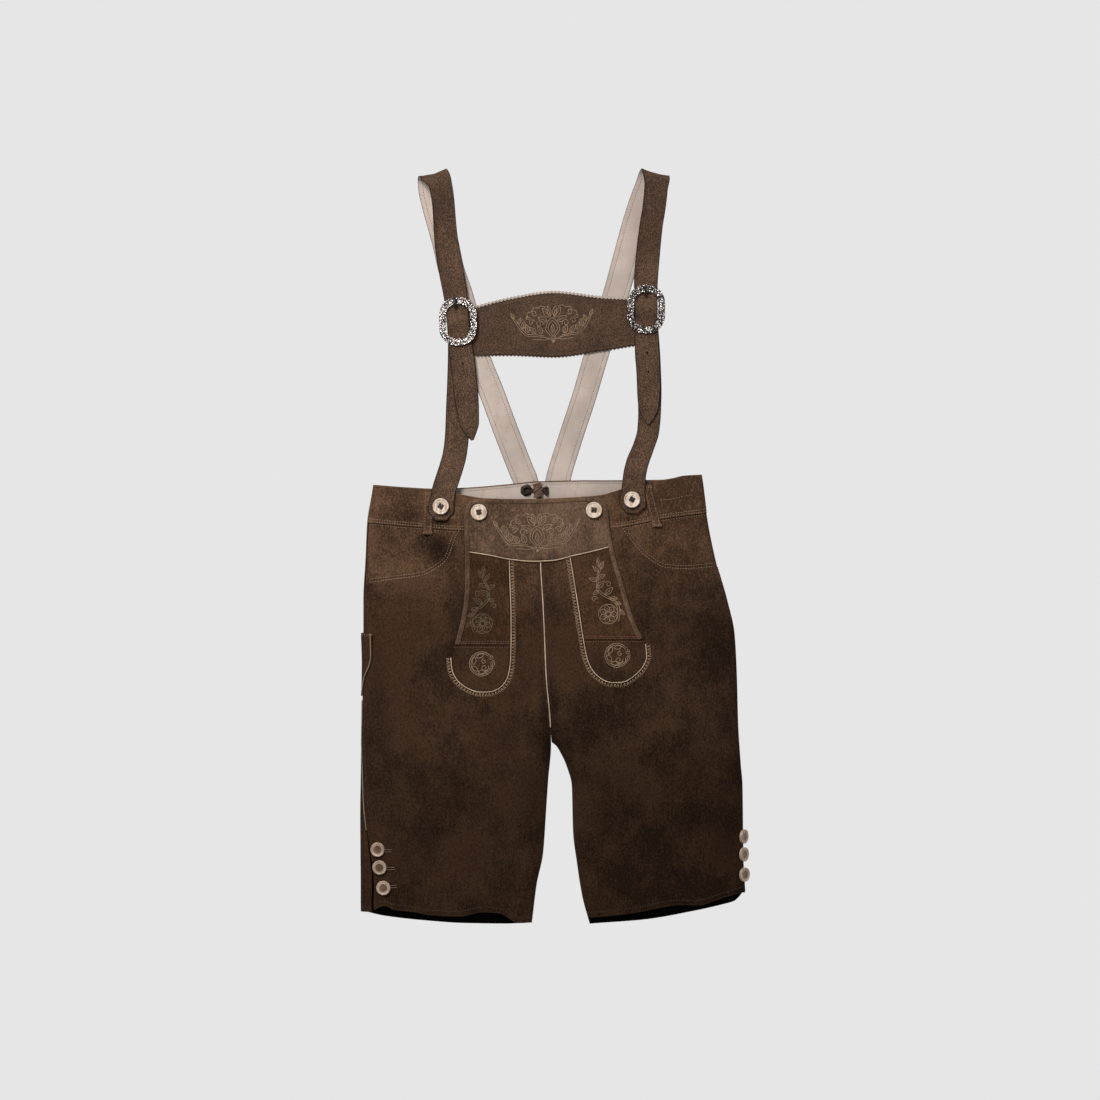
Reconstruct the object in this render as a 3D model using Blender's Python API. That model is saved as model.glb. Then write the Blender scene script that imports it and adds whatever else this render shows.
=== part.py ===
"""Lederhosen laid flat on their back: leather shorts with a drop flap, shoulder straps and a chest strap.

Lengths in this script are millimetres, and the objects are made in metres. +X is to the viewer's right, +Y runs
from the hems to the shoulder straps and +Z is up, away from the floor. Right and left in the names are the
wearer's, so the right leg lies toward -X.
"""

import math
from bisect import bisect_right
from collections import namedtuple

import bmesh
import bpy
from mathutils import Vector

METRES = 0.001  # one millimetre, in metres

GAP = 0.3  # left between pieces that touch
HALF_GAP = GAP / 2
SIDE_GAP = 0.3  # half the gap at the right side seam, whose line bends more
PANEL = 1.5  # leather of the legs and the waistband
FLAP = 1.8  # leather of the drop flap
FLAP_LIFT = 0.5  # the flap's underside above the panels
STRAP = 1.6  # leather of the straps
LINING = 1.0  # cream lining of the straps and the waistband
PIPING = 0.8  # radius of the cream piping

FOLD = 4.0  # radius of the fold where a panel turns up from the floor
ROUNDNESS = 4.0  # how squarely the top of a section turns down to its folds
LEFT_SEAM = math.radians(28)  # the left side seam lies this far under its fold

# ---------------------------------------------------------------------------------------------------------------
# Smooth curves through short tables


class Smooth:
    """A smooth curve through (place, value) pairs that never overshoots them."""

    def __init__(self, pairs):
        pairs = sorted(pairs)
        self.places = [place for place, _ in pairs]
        self.values = [value for _, value in pairs]
        rises = [
            (v1 - v0) / (p1 - p0)
            for p0, p1, v0, v1 in zip(self.places, self.places[1:], self.values, self.values[1:])
        ]
        self.slopes = [rises[0]]
        for before, after in zip(rises, rises[1:]):
            turning = before * after <= 0
            self.slopes.append(0 if turning else 2 * before * after / (before + after))
        self.slopes.append(rises[-1])

    def __call__(self, place):
        place = min(max(place, self.places[0]), self.places[-1])
        k = min(bisect_right(self.places, place) - 1, len(self.places) - 2)
        span = self.places[k + 1] - self.places[k]
        t = (place - self.places[k]) / span
        return (
            self.values[k] * (1 + 2 * t) * (1 - t) ** 2
            + self.values[k + 1] * t * t * (3 - 2 * t)
            + span * t * (1 - t) * (self.slopes[k] * (1 - t) - self.slopes[k + 1] * t)
        )


def between(low, high, t):
    return low + (high - low) * t


def ramp(value, start, end):
    """0 at start, 1 at end, and smooth between them."""
    t = min(max((value - start) / (end - start), 0), 1)
    return t * t * (3 - 2 * t)


# ---------------------------------------------------------------------------------------------------------------
# The two halves of the trousers

# A section across one half at y: its inner and outer edge, and how high its crest stands.
Section = namedtuple("Section", "y inner outer height")

CROTCH = -258  # where the four leg panels meet
CLOSING = -150  # from here down to the crotch the halves close into tubes

RIGHT_SECTIONS = [
    Section(93, -19.2, -235, 15),
    Section(79, -19.2, -236, 15.5),
    Section(30, -19.2, -243.6, 18),
    Section(-18, -18.5, -245.8, 21),
    Section(-70, -15.5, -248.5, 23.5),
    Section(-114, -13.3, -248.5, 25),
    Section(-169, -11, -249, 25.5),
    Section(-226, -5.8, -250.5, 25),
    Section(-258, -4.6, -251.5, 25),
    Section(-303, -8.3, -252, 24),
    Section(-343, -11, -252.6, 22.5),
    Section(-399, -15, -252.3, 19.5),
    Section(-439, -23.3, -252, 17),
    Section(-490, -29.6, -252, 14),
]
LEFT_SECTIONS = [
    Section(93, -19.2, 191, 15),
    Section(79, -19.2, 193, 15.5),
    Section(36, -19.2, 198.6, 18),
    Section(-18, -18.5, 209.4, 21),
    Section(-70, -15.5, 224, 23.5),
    Section(-114, -13.3, 233.5, 25),
    Section(-169, -11, 236.5, 25.5),
    Section(-226, -5.8, 238, 25),
    Section(-254, -4.2, 239.4, 25),
    Section(-259, 1.8, 239.8, 24.9),
    Section(-266, 6, 240.3, 24.8),
    Section(-283, 14.2, 241.5, 24.5),
    Section(-311, 21.9, 243.8, 23.8),
    Section(-370, 23.5, 244.5, 21),
    Section(-412, 28.7, 245.2, 18.5),
    Section(-454, 35.4, 248, 16),
    Section(-490, 45, 250, 14),
]

RIGHT_WAIST = [(0, 59.8), (0.1, 60), (0.3, 61.1), (0.49, 67), (0.64, 72.9), (0.8, 75.1), (1, 79)]
LEFT_WAIST = [
    (0, 59.8), (0.12, 60), (0.3, 64), (0.36, 65.4), (0.49, 72.9), (0.65, 83.7), (0.78, 86), (0.89, 91), (1, 92.4),
]
RIGHT_BAND_SEAM = [(0, 18.2), (0.45, 20.2), (0.77, 25.6), (1, 30.3)]
LEFT_BAND_SEAM = [(0, 18.2), (0.43, 23.4), (0.63, 30.9), (0.7, 34.2), (1, 42.9)]
# The pocket mouths: from where they leave the waistband's seam to the side seam.
RIGHT_POCKET = [
    (0.44, 26), (0.477, 13), (0.528, -17.5), (0.6, -31.2), (0.67, -39), (0.83, -44.2), (1, -49.4),
]
LEFT_POCKET = [
    (0.46, 29), (0.478, 22), (0.507, 12), (0.545, -0.5), (0.61, -17.5), (0.7, -29), (0.8, -30.6), (1, -27.3),
]
RIGHT_BACK_SEAM = [(0, 36), (1, 30.3)]
LEFT_BACK_SEAM = [(0, 36), (1, 42.9)]
RIGHT_BACK_WAIST = [(0, 83.7), (0.25, 78.5), (0.45, 75.5), (0.64, 74.3), (0.81, 76), (1, 79)]
LEFT_BACK_WAIST = [(0, 83.7), (0.25, 84.9), (0.5, 85.2), (0.75, 85.8), (0.89, 90), (1, 92.4)]
RIGHT_FRONT_HEM = [
    (0, -488.3), (0.08, -488.5), (0.14, -483.5), (0.21, -475.5), (0.32, -474), (0.46, -479.3), (0.66, -477.5),
    (0.74, -474), (0.88, -470.6), (0.93, -465.7), (1, -471.3),
]
LEFT_FRONT_HEM = [(0, -482), (0.28, -475.3), (0.61, -464.4), (0.69, -464.9), (0.87, -454.7), (1, -447.2)]
RIGHT_BACK_HEM = [(0, -489), (0.14, -490.4), (0.39, -489.7), (0.63, -486.2), (0.88, -480), (1, -474)]
LEFT_BACK_HEM = [(0, -490.2), (0.34, -485.2), (0.66, -474.6), (0.87, -465.3), (0.95, -460.5), (1, -450)]

# How high above its fold the right side seam runs: it comes up onto the front toward the hem.
RIGHT_SEAM_RISE = [
    (93, 1.5), (-150, 1.5), (-223, 3.5), (-303, 6.5), (-338, 7.5), (-368, 8.5), (-411, 9), (-438, 8.3), (-466, 7.2),
    (-490, 6.5),
]

# Soft troughs in the front of the legs: where each begins and ends, its depth and its width.
Crease = namedtuple("Crease", "x0 y0 x1 y1 depth width")
CREASES = [
    Crease(-45, -262, -120, -232, 1.6, 13),
    Crease(-50, -300, -150, -318, 1.3, 16),
    Crease(45, -262, 125, -228, 1.6, 13),
    Crease(70, -318, 175, -300, 1.3, 16),
    Crease(-185, -215, -225, -250, 1.2, 14),
    Crease(180, -190, 220, -240, 1.2, 14),
]

# The middle of the back waist is raised over the strap ends and the two buttons that hold them.
BACK_LIFT = 6.8
LIFT_FROM, LIFT_TO, LIFT_SPREAD = -58, 28, 46
LIFT_LOW, LIFT_HIGH = -8, 50


def back_lift(x, y):
    sides = ramp(x, LIFT_FROM - LIFT_SPREAD, LIFT_FROM) * ramp(x, LIFT_TO + LIFT_SPREAD, LIFT_TO)
    return BACK_LIFT * sides * ramp(y, LIFT_LOW, LIFT_HIGH)


def crease_depth(x, y):
    depth = 0
    for crease in CREASES:
        start = Vector((crease.x0, crease.y0))
        run = Vector((crease.x1, crease.y1)) - start
        along = (Vector((x, y)) - start).dot(run) / run.length_squared
        near = start + run * min(max(along, 0), 1)
        away = (Vector((x, y)) - near).length / crease.width
        depth += crease.depth * math.exp(-away * away)
    return depth


class Half:
    """One half of the trousers: side is -1 for the wearer's right and 1 for the left."""

    def __init__(self, name, side, sections, seam_rise=None):
        self.name = name
        self.side = side
        self.inner_edge = Smooth([(s.y, s.inner + side * HALF_GAP) for s in sections])
        self.outer_edge = Smooth([(s.y, s.outer) for s in sections])
        self.crest = Smooth([(s.y, s.height) for s in sections])
        self.seam_rise = Smooth(seam_rise) if seam_rise else None

    def closing(self, y):
        """0 where the half is open toward the middle, and 1 where it is a tube."""
        return min(max((CLOSING - y) / (CLOSING - CROTCH), 0), 1)

    def across(self, share, y):
        return between(self.inner_edge(y), self.outer_edge(y), share)

    def share(self, x, y):
        return (x - self.inner_edge(y)) / (self.outer_edge(y) - self.inner_edge(y))

    def rise(self, x, y):
        """How high the crest stands over the fold, less the creases."""
        return self.crest(y) - FOLD - crease_depth(x, y)

    def fullness(self, x, y):
        """0 at the crest and 1 at the folds."""
        closing = self.closing(y)
        return abs(self.share(x, y) * (1 + closing) - closing) ** ROUNDNESS

    def top(self, x, y):
        """The height of the front at a place."""
        return FOLD + self.rise(x, y) * math.sqrt(max(1 - self.fullness(x, y), 0))

    def slope(self, x, y, z):
        """The outward direction of the front at one of its points."""

        def form(px, py):
            return ((z - FOLD) / self.rise(px, py)) ** 2 + self.fullness(px, py)

        step = 0.5
        return Vector(
            (
                (form(x + step, y) - form(x - step, y)) / (2 * step),
                (form(x, y + step) - form(x, y - step)) / (2 * step),
                2 * (z - FOLD) / self.rise(x, y) ** 2,
            )
        ).normalized()

    def front(self, share, y, lift=0.0):
        """A point of the front panel at a share of its width, moved out by lift, and its direction."""
        x = self.across(share, y)
        z = max(self.top(x, y), FOLD + HALF_GAP)
        out = self.slope(x, y, z)
        return Vector((x, y, z)) + out * lift, out

    def over(self, rise, y, lift=0.0):
        """A point that lies rise above the outer fold, on the front or, below 0, under the fold."""
        if rise >= 0:
            crest = self.rise(self.outer_edge(y), y)
            closing = self.closing(y)
            width = (1 - (rise / crest) ** 2) ** (1 / ROUNDNESS)
            x = self.across((width + closing) / (1 + closing), y)
            out = self.slope(x, y, FOLD + rise)
            return Vector((x, y, FOLD + rise)) + out * lift, out
        return self.outer(math.asin(rise / FOLD), y, lift)

    def outer(self, angle, y, lift=0.0):
        """A point of the outer fold, from -90 degrees on the floor to 0 at its outermost line."""
        out = Vector((self.side * math.cos(angle), 0, math.sin(angle)))
        middle = Vector((self.outer_edge(y) - self.side * FOLD, y, FOLD))
        return middle + out * (FOLD + lift), out

    def inner(self, angle, y):
        """A point of the inner fold, from 0 at its innermost line to 90 degrees on the floor."""
        closing = self.closing(y)
        x = self.inner_edge(y) + self.side * FOLD * (1 - math.cos(angle))
        z = (FOLD - HALF_GAP) * closing * (1 - math.sin(angle)) + back_lift(x, y)
        out = Vector((-self.side * math.cos(angle) * closing, 0, -max(math.sin(angle), 1 - closing)))
        return Vector((x, y, z)), out.normalized()

    def floor(self, share, y):
        """A point of the underside, at a share of the way between its two folds."""
        x = between(self.inner_edge(y) + self.side * FOLD, self.outer_edge(y) - self.side * FOLD, share)
        return Vector((x, y, back_lift(x, y))), Vector((0, 0, -1))

    def seam_share(self, y, rise):
        """The share of the width at which the front stands rise above its outer fold."""
        return self.share(self.over(rise, y)[0].x, y)


RIGHT = Half("right", -1, RIGHT_SECTIONS, RIGHT_SEAM_RISE)
LEFT = Half("left", 1, LEFT_SECTIONS)
HALVES = (RIGHT, LEFT)

# ---------------------------------------------------------------------------------------------------------------
# Materials and the ways to make a solid

Finish = namedtuple("Finish", "colour roughness metallic")
FINISHES = {
    "suede": Finish((0.062, 0.036, 0.022), 0.9, 0),
    "strap_leather": Finish((0.08, 0.045, 0.028), 0.8, 0),
    "cream_leather": Finish((0.5, 0.42, 0.34), 0.85, 0),
    "piping": Finish((0.45, 0.34, 0.23), 0.8, 0),
    "horn": Finish((0.6, 0.5, 0.37), 0.4, 0),
    "silver": Finish((0.4, 0.38, 0.35), 0.35, 1),
    "cord": Finish((0.05, 0.03, 0.02), 0.9, 0),
}


def make_material(name):
    finish = FINISHES[name]
    material = bpy.data.materials.new(name)
    material.use_nodes = True
    shader = material.node_tree.nodes["Principled BSDF"]
    shader.inputs["Base Color"].default_value = (*finish.colour, 1)
    shader.inputs["Roughness"].default_value = finish.roughness
    shader.inputs["Metallic"].default_value = finish.metallic
    return material


def add_object(name, data, finish):
    piece = bpy.data.objects.new(name, data)
    data.materials.append(bpy.data.materials[finish])
    bpy.data.collections["lederhosen"].objects.link(piece)
    return piece


def wall(name, surface, across, down, thickness, finish):
    """A wall of leather: a grid laid on surface(a, d) -> (point, outward direction), thickened inward."""
    mesh = bmesh.new()
    columns, rows = len(across) - 1, len(down) - 1
    bmesh.ops.create_grid(mesh, x_segments=columns, y_segments=rows, size=1)
    inward = mesh.verts.layers.float_vector.new("inward")
    for vertex in mesh.verts:
        column = round((vertex.co.x + 1) / 2 * columns)
        row = round((vertex.co.y + 1) / 2 * rows)
        point, out = surface(across[column], down[row])
        vertex.co = point * METRES
        vertex[inward] = -out * thickness * METRES
    grown = bmesh.ops.extrude_face_region(mesh, geom=mesh.faces[:], use_keep_orig=True)
    for part in grown["geom"]:
        if isinstance(part, bmesh.types.BMVert):
            part.co += part[inward]
    mesh.verts.layers.float_vector.remove(inward)
    bmesh.ops.recalc_face_normals(mesh, faces=mesh.faces)
    data = bpy.data.meshes.new(name)
    mesh.to_mesh(data)
    mesh.free()
    data.shade_smooth()
    data.set_sharp_from_angle(angle=math.radians(50))
    return add_object(name, data, finish)


def tube(name, points, radius, finish, sides=1):
    """A round cord through points, as a curve with filled caps."""
    curve = bpy.data.curves.new(name, "CURVE")
    curve.dimensions = "3D"
    curve.bevel_depth = radius * METRES
    curve.bevel_resolution = sides
    curve.use_fill_caps = True
    spline = curve.splines.new("POLY")
    spline.points.add(len(points) - 1)
    for place, point in zip(spline.points, points):
        place.co = (*(point * METRES), 1)
    return add_object(name, curve, finish)


def turned(name, profile, centre, axis, finish, turns=12):
    """A turned piece: profile is (radius, height) from the top middle, down its outer side, to the base."""
    mesh = bmesh.new()
    path = [mesh.verts.new((radius * METRES, 0, height * METRES)) for radius, height in profile]
    edges = [mesh.edges.new(pair) for pair in zip(path, path[1:])]
    bmesh.ops.spin(
        mesh,
        geom=path + edges,
        cent=(0, 0, 0),
        axis=(0, 0, 1),
        angle=math.tau,
        steps=turns,
        use_merge=True,
    )
    bmesh.ops.remove_doubles(mesh, verts=mesh.verts, dist=1e-6)
    bmesh.ops.recalc_face_normals(mesh, faces=mesh.faces)
    data = bpy.data.meshes.new(name)
    mesh.to_mesh(data)
    mesh.free()
    data.shade_smooth()
    data.set_sharp_from_angle(angle=math.radians(40))
    piece = add_object(name, data, finish)
    piece.rotation_euler = Vector((0, 0, 1)).rotation_difference(axis).to_euler()
    piece.location = centre * METRES
    return piece


# ---------------------------------------------------------------------------------------------------------------
# Legs, waistband and pockets

FRONT_SHARES = [0, 0.07, 0.18, 0.32, 0.45, 0.478, 0.505, 0.54, 0.61, 0.7, 0.8, 0.89, 0.955, 0.985, 1]
FRONT_ROWS = [
    18, -8, -36, -66, -98, -130, -160, -189, -215, -234, -246, -254, -262, -274, -292, -318, -350, -388, -425, -456,
    -478,
]
BACK_ROWS = [36, 5, -35, -90, -150, -200, -234, -250, -258, -266, -289, -337, -385, -434, -465, -484]
BAND_SHARES = [0, 0.1, 0.2, 0.3, 0.45, 0.6, 0.75, 0.88, 0.96, 1]
BACK_FLATS = [0.1, 0.2, 0.3, 0.45, 0.65, 0.86, 0.95]
BAND_STEPS = [0, 0.3, 0.65, 1]
TOP_FADE = -189  # the front's rows are level from here down
HEM_FADE = -383  # and no longer level below here


def front_stations(half):
    """Where the front panel's points lie across it: on the front or, on the left, round its fold."""
    stations = [("front", share) for share in FRONT_SHARES]
    if half is LEFT:
        stations.append(("fold", -0.5))
        stations.append(("fold", -1))
    return stations


def band_stations(half):
    stations = [("front", share) for share in BAND_SHARES]
    if half is LEFT:
        stations.append(("fold", -1))
    return stations


def back_stations(half, inner=(0, 30, 60, 90)):
    """Where the back panel's points lie across it, from its inner fold to the side seam."""
    stations = [("inner", math.radians(angle)) for angle in inner]
    stations += [("floor", share) for share in BACK_FLATS]
    if half is LEFT:
        stations += [("outer", math.radians(angle)) for angle in (-90, -62)]
        stations.append(("outer", -LEFT_SEAM - HALF_GAP / FOLD))
    else:
        stations += [("outer", math.radians(angle)) for angle in (-90, -60, -30)]
        stations += [("over", share) for share in (0, 0.4, 0.75, 1)]
    return stations


def placed(half, station, y, lift=0.0):
    """The point and outward direction of a station at y."""
    kind, value = station
    if kind == "front":
        if half is LEFT:
            return half.front(value, y, lift)
        return half.front(value * half.seam_share(y, half.seam_rise(y) + SIDE_GAP), y, lift)
    if kind == "fold":
        return half.outer(value * (LEFT_SEAM - HALF_GAP / FOLD), y, lift)
    if kind == "inner":
        return half.inner(value, y)
    if kind == "floor":
        return half.floor(value, y)
    if kind == "outer":
        return half.outer(value, y, lift)
    return half.over(value * (half.seam_rise(y) - SIDE_GAP), y, lift)


def station_share(station):
    """Roughly how far across the half a station lies, for reading the edge lines."""
    kind, value = station
    if kind in ("front", "floor"):
        return value
    return 0 if kind == "inner" else 1


def leg_panel(name, half, stations, rows, top, hem):
    """A leg panel between its top line and its hem."""

    def surface(station, row):
        share = station_share(station)
        down = min(max((row - TOP_FADE) / (rows[0] - TOP_FADE), 0), 1)
        up = min(max((HEM_FADE - row) / (HEM_FADE - rows[-1]), 0), 1)
        y = row + (top(share) - rows[0]) * down + (hem(share) - rows[-1]) * up
        return placed(half, station, y)

    return wall(name, surface, stations, rows, PANEL, "suede")


def band(name, half, stations, low, high, thickness, finish, lift=0.0):
    """A piece of the waistband between its two lines."""

    def surface(station, step):
        share = station_share(station)
        return placed(half, station, between(high(share), low(share) + GAP, step), lift)

    return wall(name, surface, stations, BAND_STEPS, thickness, finish)


def waistband_facing(half, low, high):
    """The cream leather on the inside of the back waistband, on the waistband's own points."""
    stations = [("inner", math.radians(angle)) for angle in (30, 90)]
    stations += [("floor", share) for share in BACK_FLATS if share < 0.9]
    margin = 1.5

    def surface(station, step):
        share = station_share(station)
        point, _ = placed(half, station, between(high(share) - margin, low(share) + margin, step))
        return point + Vector((0, 0, PANEL + GAP + LINING)), Vector((0, 0, 1))

    wall(f"waistband_facing_{half.name}", surface, stations, BAND_STEPS, LINING, "cream_leather")


POCKET_SHARES = [0.45, 0.48, 0.53, 0.6, 0.67, 0.75, 0.83, 0.9, 0.95, 0.985]
POCKET_TURN = 8  # how far the facing runs on under the front panel


def pocket_facing(half, seam, edge):
    """The leather that fills the pocket's mouth, just under the front panel."""
    stations = [("front", share) for share in POCKET_SHARES]

    def surface(station, step):
        share = station_share(station)
        y = between(seam(share) - GAP, edge(share) - POCKET_TURN, step)
        return placed(half, station, y, -(PANEL + GAP))

    wall(f"pocket_facing_{half.name}", surface, stations, [0, 0.25, 0.5, 0.75, 1], LINING, "suede")


def make_trousers():
    lines = {
        "right": (RIGHT_WAIST, RIGHT_BAND_SEAM, RIGHT_POCKET, RIGHT_FRONT_HEM, RIGHT_BACK_SEAM, RIGHT_BACK_WAIST,
                  RIGHT_BACK_HEM),
        "left": (LEFT_WAIST, LEFT_BAND_SEAM, LEFT_POCKET, LEFT_FRONT_HEM, LEFT_BACK_SEAM, LEFT_BACK_WAIST,
                 LEFT_BACK_HEM),
    }
    for half in HALVES:
        waist, seam, pocket, front_hem, back_seam, back_waist, back_hem = map(Smooth, lines[half.name])

        def front_top(share, seam=seam, pocket=pocket):
            return min(seam(share), pocket(share))

        backs = back_stations(half)
        leg_panel(f"front_leg_{half.name}", half, front_stations(half), FRONT_ROWS, front_top, front_hem)
        leg_panel(f"back_leg_{half.name}", half, backs, BACK_ROWS, back_seam, back_hem)
        band(f"front_waistband_{half.name}", half, band_stations(half), seam, waist, PANEL, "suede")
        band(f"back_waistband_{half.name}", half, backs, back_seam, back_waist, PANEL, "suede")
        waistband_facing(half, back_seam, back_waist)
        pocket_facing(half, seam, front_top)


# ---------------------------------------------------------------------------------------------------------------
# What lies on the front: the flap, piping, loops and the knife pocket


def on_front(x, y, lift):
    """A point of the front under (x, y), moved out by lift, and its direction."""
    half = RIGHT if x < RIGHT.inner_edge(y) else LEFT
    z = half.top(x, y)
    out = half.slope(x, y, z)
    return Vector((x, y, z)) + out * lift, out


FLAP_TOP = FLAP_LIFT + FLAP
SEAM_CHANNEL = 1.1  # half the width left between the yoke and the tongues for the piping

# The yoke: its top and bottom line across x, and its sides down y.
YOKE_TOP = [(-115, 54.5), (-109, 56.4), (-27, 55.1), (48, 58.1), (58, 56.6), (70, 50)]
YOKE_PIPING = [(-116, -7), (-84, -12), (-60, -16.9), (-27, -19.9), (-2, -18.7), (23, -12.7), (48, -7), (76, 0.5)]
YOKE_RIGHT = [(57, -109), (43, -115.4), (20, -116.7), (-14, -115.6)]
YOKE_LEFT = [(57, 57.5), (43, 67.4), (13, 72.3), (-14, 78)]
YOKE_SHARES = [0, 0.07, 0.18, 0.3, 0.42, 0.5, 0.58, 0.7, 0.82, 0.93, 1]

# A tongue: its outer and inner edge down y, each ending in a round tip.
Tongue = namedtuple("Tongue", "y outer inner")
TONGUES = {
    "right": [
        Tongue(0, -115.6, -60.2),
        Tongue(-17, -115.6, -59.9),
        Tongue(-49, -115.6, -59),
        Tongue(-87, -119.1, -57.6),
        Tongue(-119, -126.6, -57.5),
        Tongue(-130, -129.6, -57.7),
        Tongue(-144, -132.8, -58),
        Tongue(-158.6, -131.5, -59.5),
        Tongue(-169, -127.3, -62),
        Tongue(-178, -119, -67.5),
        Tongue(-183.6, -109.1, -74.3),
        Tongue(-187.2, -98, -85),
    ],
    "left": [
        Tongue(20, 70.5, 17),
        Tongue(0, 74.8, 19),
        Tongue(-17, 79, 21.4),
        Tongue(-49, 88, 26.7),
        Tongue(-82, 97.3, 32),
        Tongue(-114, 109.7, 36.9),
        Tongue(-126.4, 115.9, 39),
        Tongue(-143.8, 117.2, 42.5),
        Tongue(-155, 112.5, 46.8),
        Tongue(-164, 104.5, 53),
        Tongue(-171.2, 94.8, 62.5),
        Tongue(-175, 86, 73),
    ],
}
TIP_SEAM = {"right": -128, "left": -121}
TONGUE_ROWS = [0, 0.25, 0.5, 0.75, 1]
TONGUE_SHARES = [0, 0.25, 0.5, 0.75, 1]


def make_yoke():
    top, piping, right, left = (Smooth(line) for line in (YOKE_TOP, YOKE_PIPING, YOKE_RIGHT, YOKE_LEFT))

    def surface(share, step):
        x = between(YOKE_RIGHT[0][1], YOKE_LEFT[0][1], share)
        for _ in range(4):  # the sides depend on y, which depends on x
            y = between(top(x), piping(x) + SEAM_CHANNEL, step)
            x = between(right(y), left(y), share)
        return on_front(x, y, FLAP_TOP)

    wall("flap_yoke", surface, YOKE_SHARES, [0, 0.12, 0.3, 0.5, 0.75, 1], FLAP, "suede")
    route = [on_front(x, piping(x), FLAP_TOP - 0.3)[0] for x in range(-108, 70, 13)]
    tube("yoke_piping", route, PIPING, "piping")


def make_tongue(half):
    rows = TONGUES[half.name]
    outer = Smooth([(row.y, row.outer) for row in rows])
    inner = Smooth([(row.y, row.inner) for row in rows])
    piping = Smooth(YOKE_PIPING)
    tip = TIP_SEAM[half.name]

    def upper(share, step):
        x = between(outer(0), inner(0), share)
        for _ in range(4):
            y = between(piping(x) - SEAM_CHANNEL, tip + HALF_GAP, step)
            x = between(outer(y), inner(y), share)
        return on_front(x, y, FLAP_TOP)

    def lower(share, y):
        return on_front(between(outer(y), inner(y), share), y, FLAP_TOP)

    wall(f"flap_tongue_{half.name}", upper, TONGUE_SHARES, TONGUE_ROWS, FLAP, "suede")
    tips = [tip - HALF_GAP] + [row.y for row in rows if row.y < tip - 4]
    wall(f"flap_tip_{half.name}", lower, TONGUE_SHARES, tips, FLAP, "suede")


def tongue_piping(half):
    """Piping beside a tongue: down its inner edge, round its tip and up to the tip's seam."""
    rows = TONGUES[half.name]
    beside = PIPING + 0.5
    first = Smooth(YOKE_PIPING)(rows[2].inner) - 4
    edge = [Vector((row.inner, row.y)) for row in rows if row.y < first - 6]
    edge.insert(0, Vector((Smooth([(row.y, row.inner) for row in rows])(first), first)))
    edge += [Vector((row.outer, row.y)) for row in reversed(rows) if row.y < TIP_SEAM[half.name]]
    route = []
    for k, place in enumerate(edge):
        run = edge[min(k + 1, len(edge) - 1)] - edge[max(k - 1, 0)]
        aside = Vector((-run.y, run.x)).normalized() * half.side
        place = place - aside * beside
        route.append(on_front(place.x, place.y, PIPING + 0.45)[0])
    tube(f"tongue_piping_{half.name}", route, PIPING, "piping")


BINDING = 5.5  # width of the folded edge along the flap's outer sides
BINDING_LEATHER = 1.0


def flap_binding(half):
    """The folded edge that lies on the flap's outer side, from its top corner to the tip's seam."""
    rows = TONGUES[half.name]
    side = YOKE_RIGHT if half is RIGHT else YOKE_LEFT
    upper = [(y, x) for y, x in side if y < 50]
    lower = [(row.y, row.outer) for row in rows if row.y < -20]
    edge = Smooth(upper + lower)
    steps = [36, 22, 6, -10, -28, -49, -68, -87, -105, TIP_SEAM[half.name] + 1]

    def surface(share, y):
        x = edge(y) - half.side * (0.4 + share * BINDING)
        return on_front(x, y, FLAP_TOP + GAP + BINDING_LEATHER)

    wall(f"flap_binding_{half.name}", surface, [0, 0.5, 1], steps, BINDING_LEATHER, "suede")


def make_seam_piping():
    """Piping in the centre seam and on the right side seam."""
    lift = GAP + PIPING
    centre = []
    for y in range(-24, -234, -15):
        middle = (RIGHT.inner_edge(y) + LEFT.inner_edge(y)) / 2
        extra = 0.35 * ramp(y, CLOSING, CROTCH)  # the seam dips between the legs
        centre.append(on_front(middle, y, lift + extra)[0])
    tube("centre_piping", centre, PIPING, "piping")
    side = [RIGHT.over(RIGHT.seam_rise(y), y, lift)[0] for y in range(-202, -374, -14)]
    tube("side_piping", side, PIPING, "piping")


# The knife pocket: how high above the fold its front edge lies at each y.
KNIFE_POCKET = [(-113, 9.2), (-140, 9.4), (-155, 8.7), (-174, 5.4), (-194, 3.6)]
POCKET_MOUTH = 2.2  # how far the mouth stands open


def make_knife_pocket():
    edge = Smooth(KNIFE_POCKET)

    def lifted(share, y):
        return GAP + PANEL + POCKET_MOUTH * ramp(y, -155, -113) * ramp(share, 0, 0.45)

    def surface(share, y):
        return RIGHT.over(between(-2.2, edge(y), share), y, lifted(share, y))

    rows = [-113, -124, -136, -148, -160, -172, -183, -194]
    wall("knife_pocket", surface, [0, 0.22, 0.45, 0.7, 1], rows, PANEL, "suede")
    route = [RIGHT.over(edge(y) - 0.5, y, lifted(1, y) + GAP + PIPING)[0] for y in rows]
    tube("knife_pocket_piping", route, PIPING, "piping")


BELT_LOOPS = {  # the middle of each loop's top and bottom end
    "right": ((-163, 70), (-164.5, 15)),
    "left": ((118.8, 79), (132.5, 25)),
}
LOOP_WIDTH = 11
LOOP_LEATHER = 1.3


def belt_loop(half):
    (x0, y0), (x1, y1) = BELT_LOOPS[half.name]

    def surface(aside, step):
        point, out = on_front(between(x0, x1, step) + aside * LOOP_WIDTH, between(y0, y1, step), 0)
        bow = 0.35 * math.sin(step * math.pi)
        return point + out * (GAP + LOOP_LEATHER + bow), out

    wall(f"belt_loop_{half.name}", surface, [-0.5, 0, 0.5], [0, 0.2, 0.4, 0.6, 0.8, 1], LOOP_LEATHER, "suede")


def make_front_pieces():
    make_yoke()
    for half in HALVES:
        make_tongue(half)
        tongue_piping(half)
        flap_binding(half)
        belt_loop(half)
    make_seam_piping()
    make_knife_pocket()


# ---------------------------------------------------------------------------------------------------------------
# Straps: ribbons that follow a route

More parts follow.
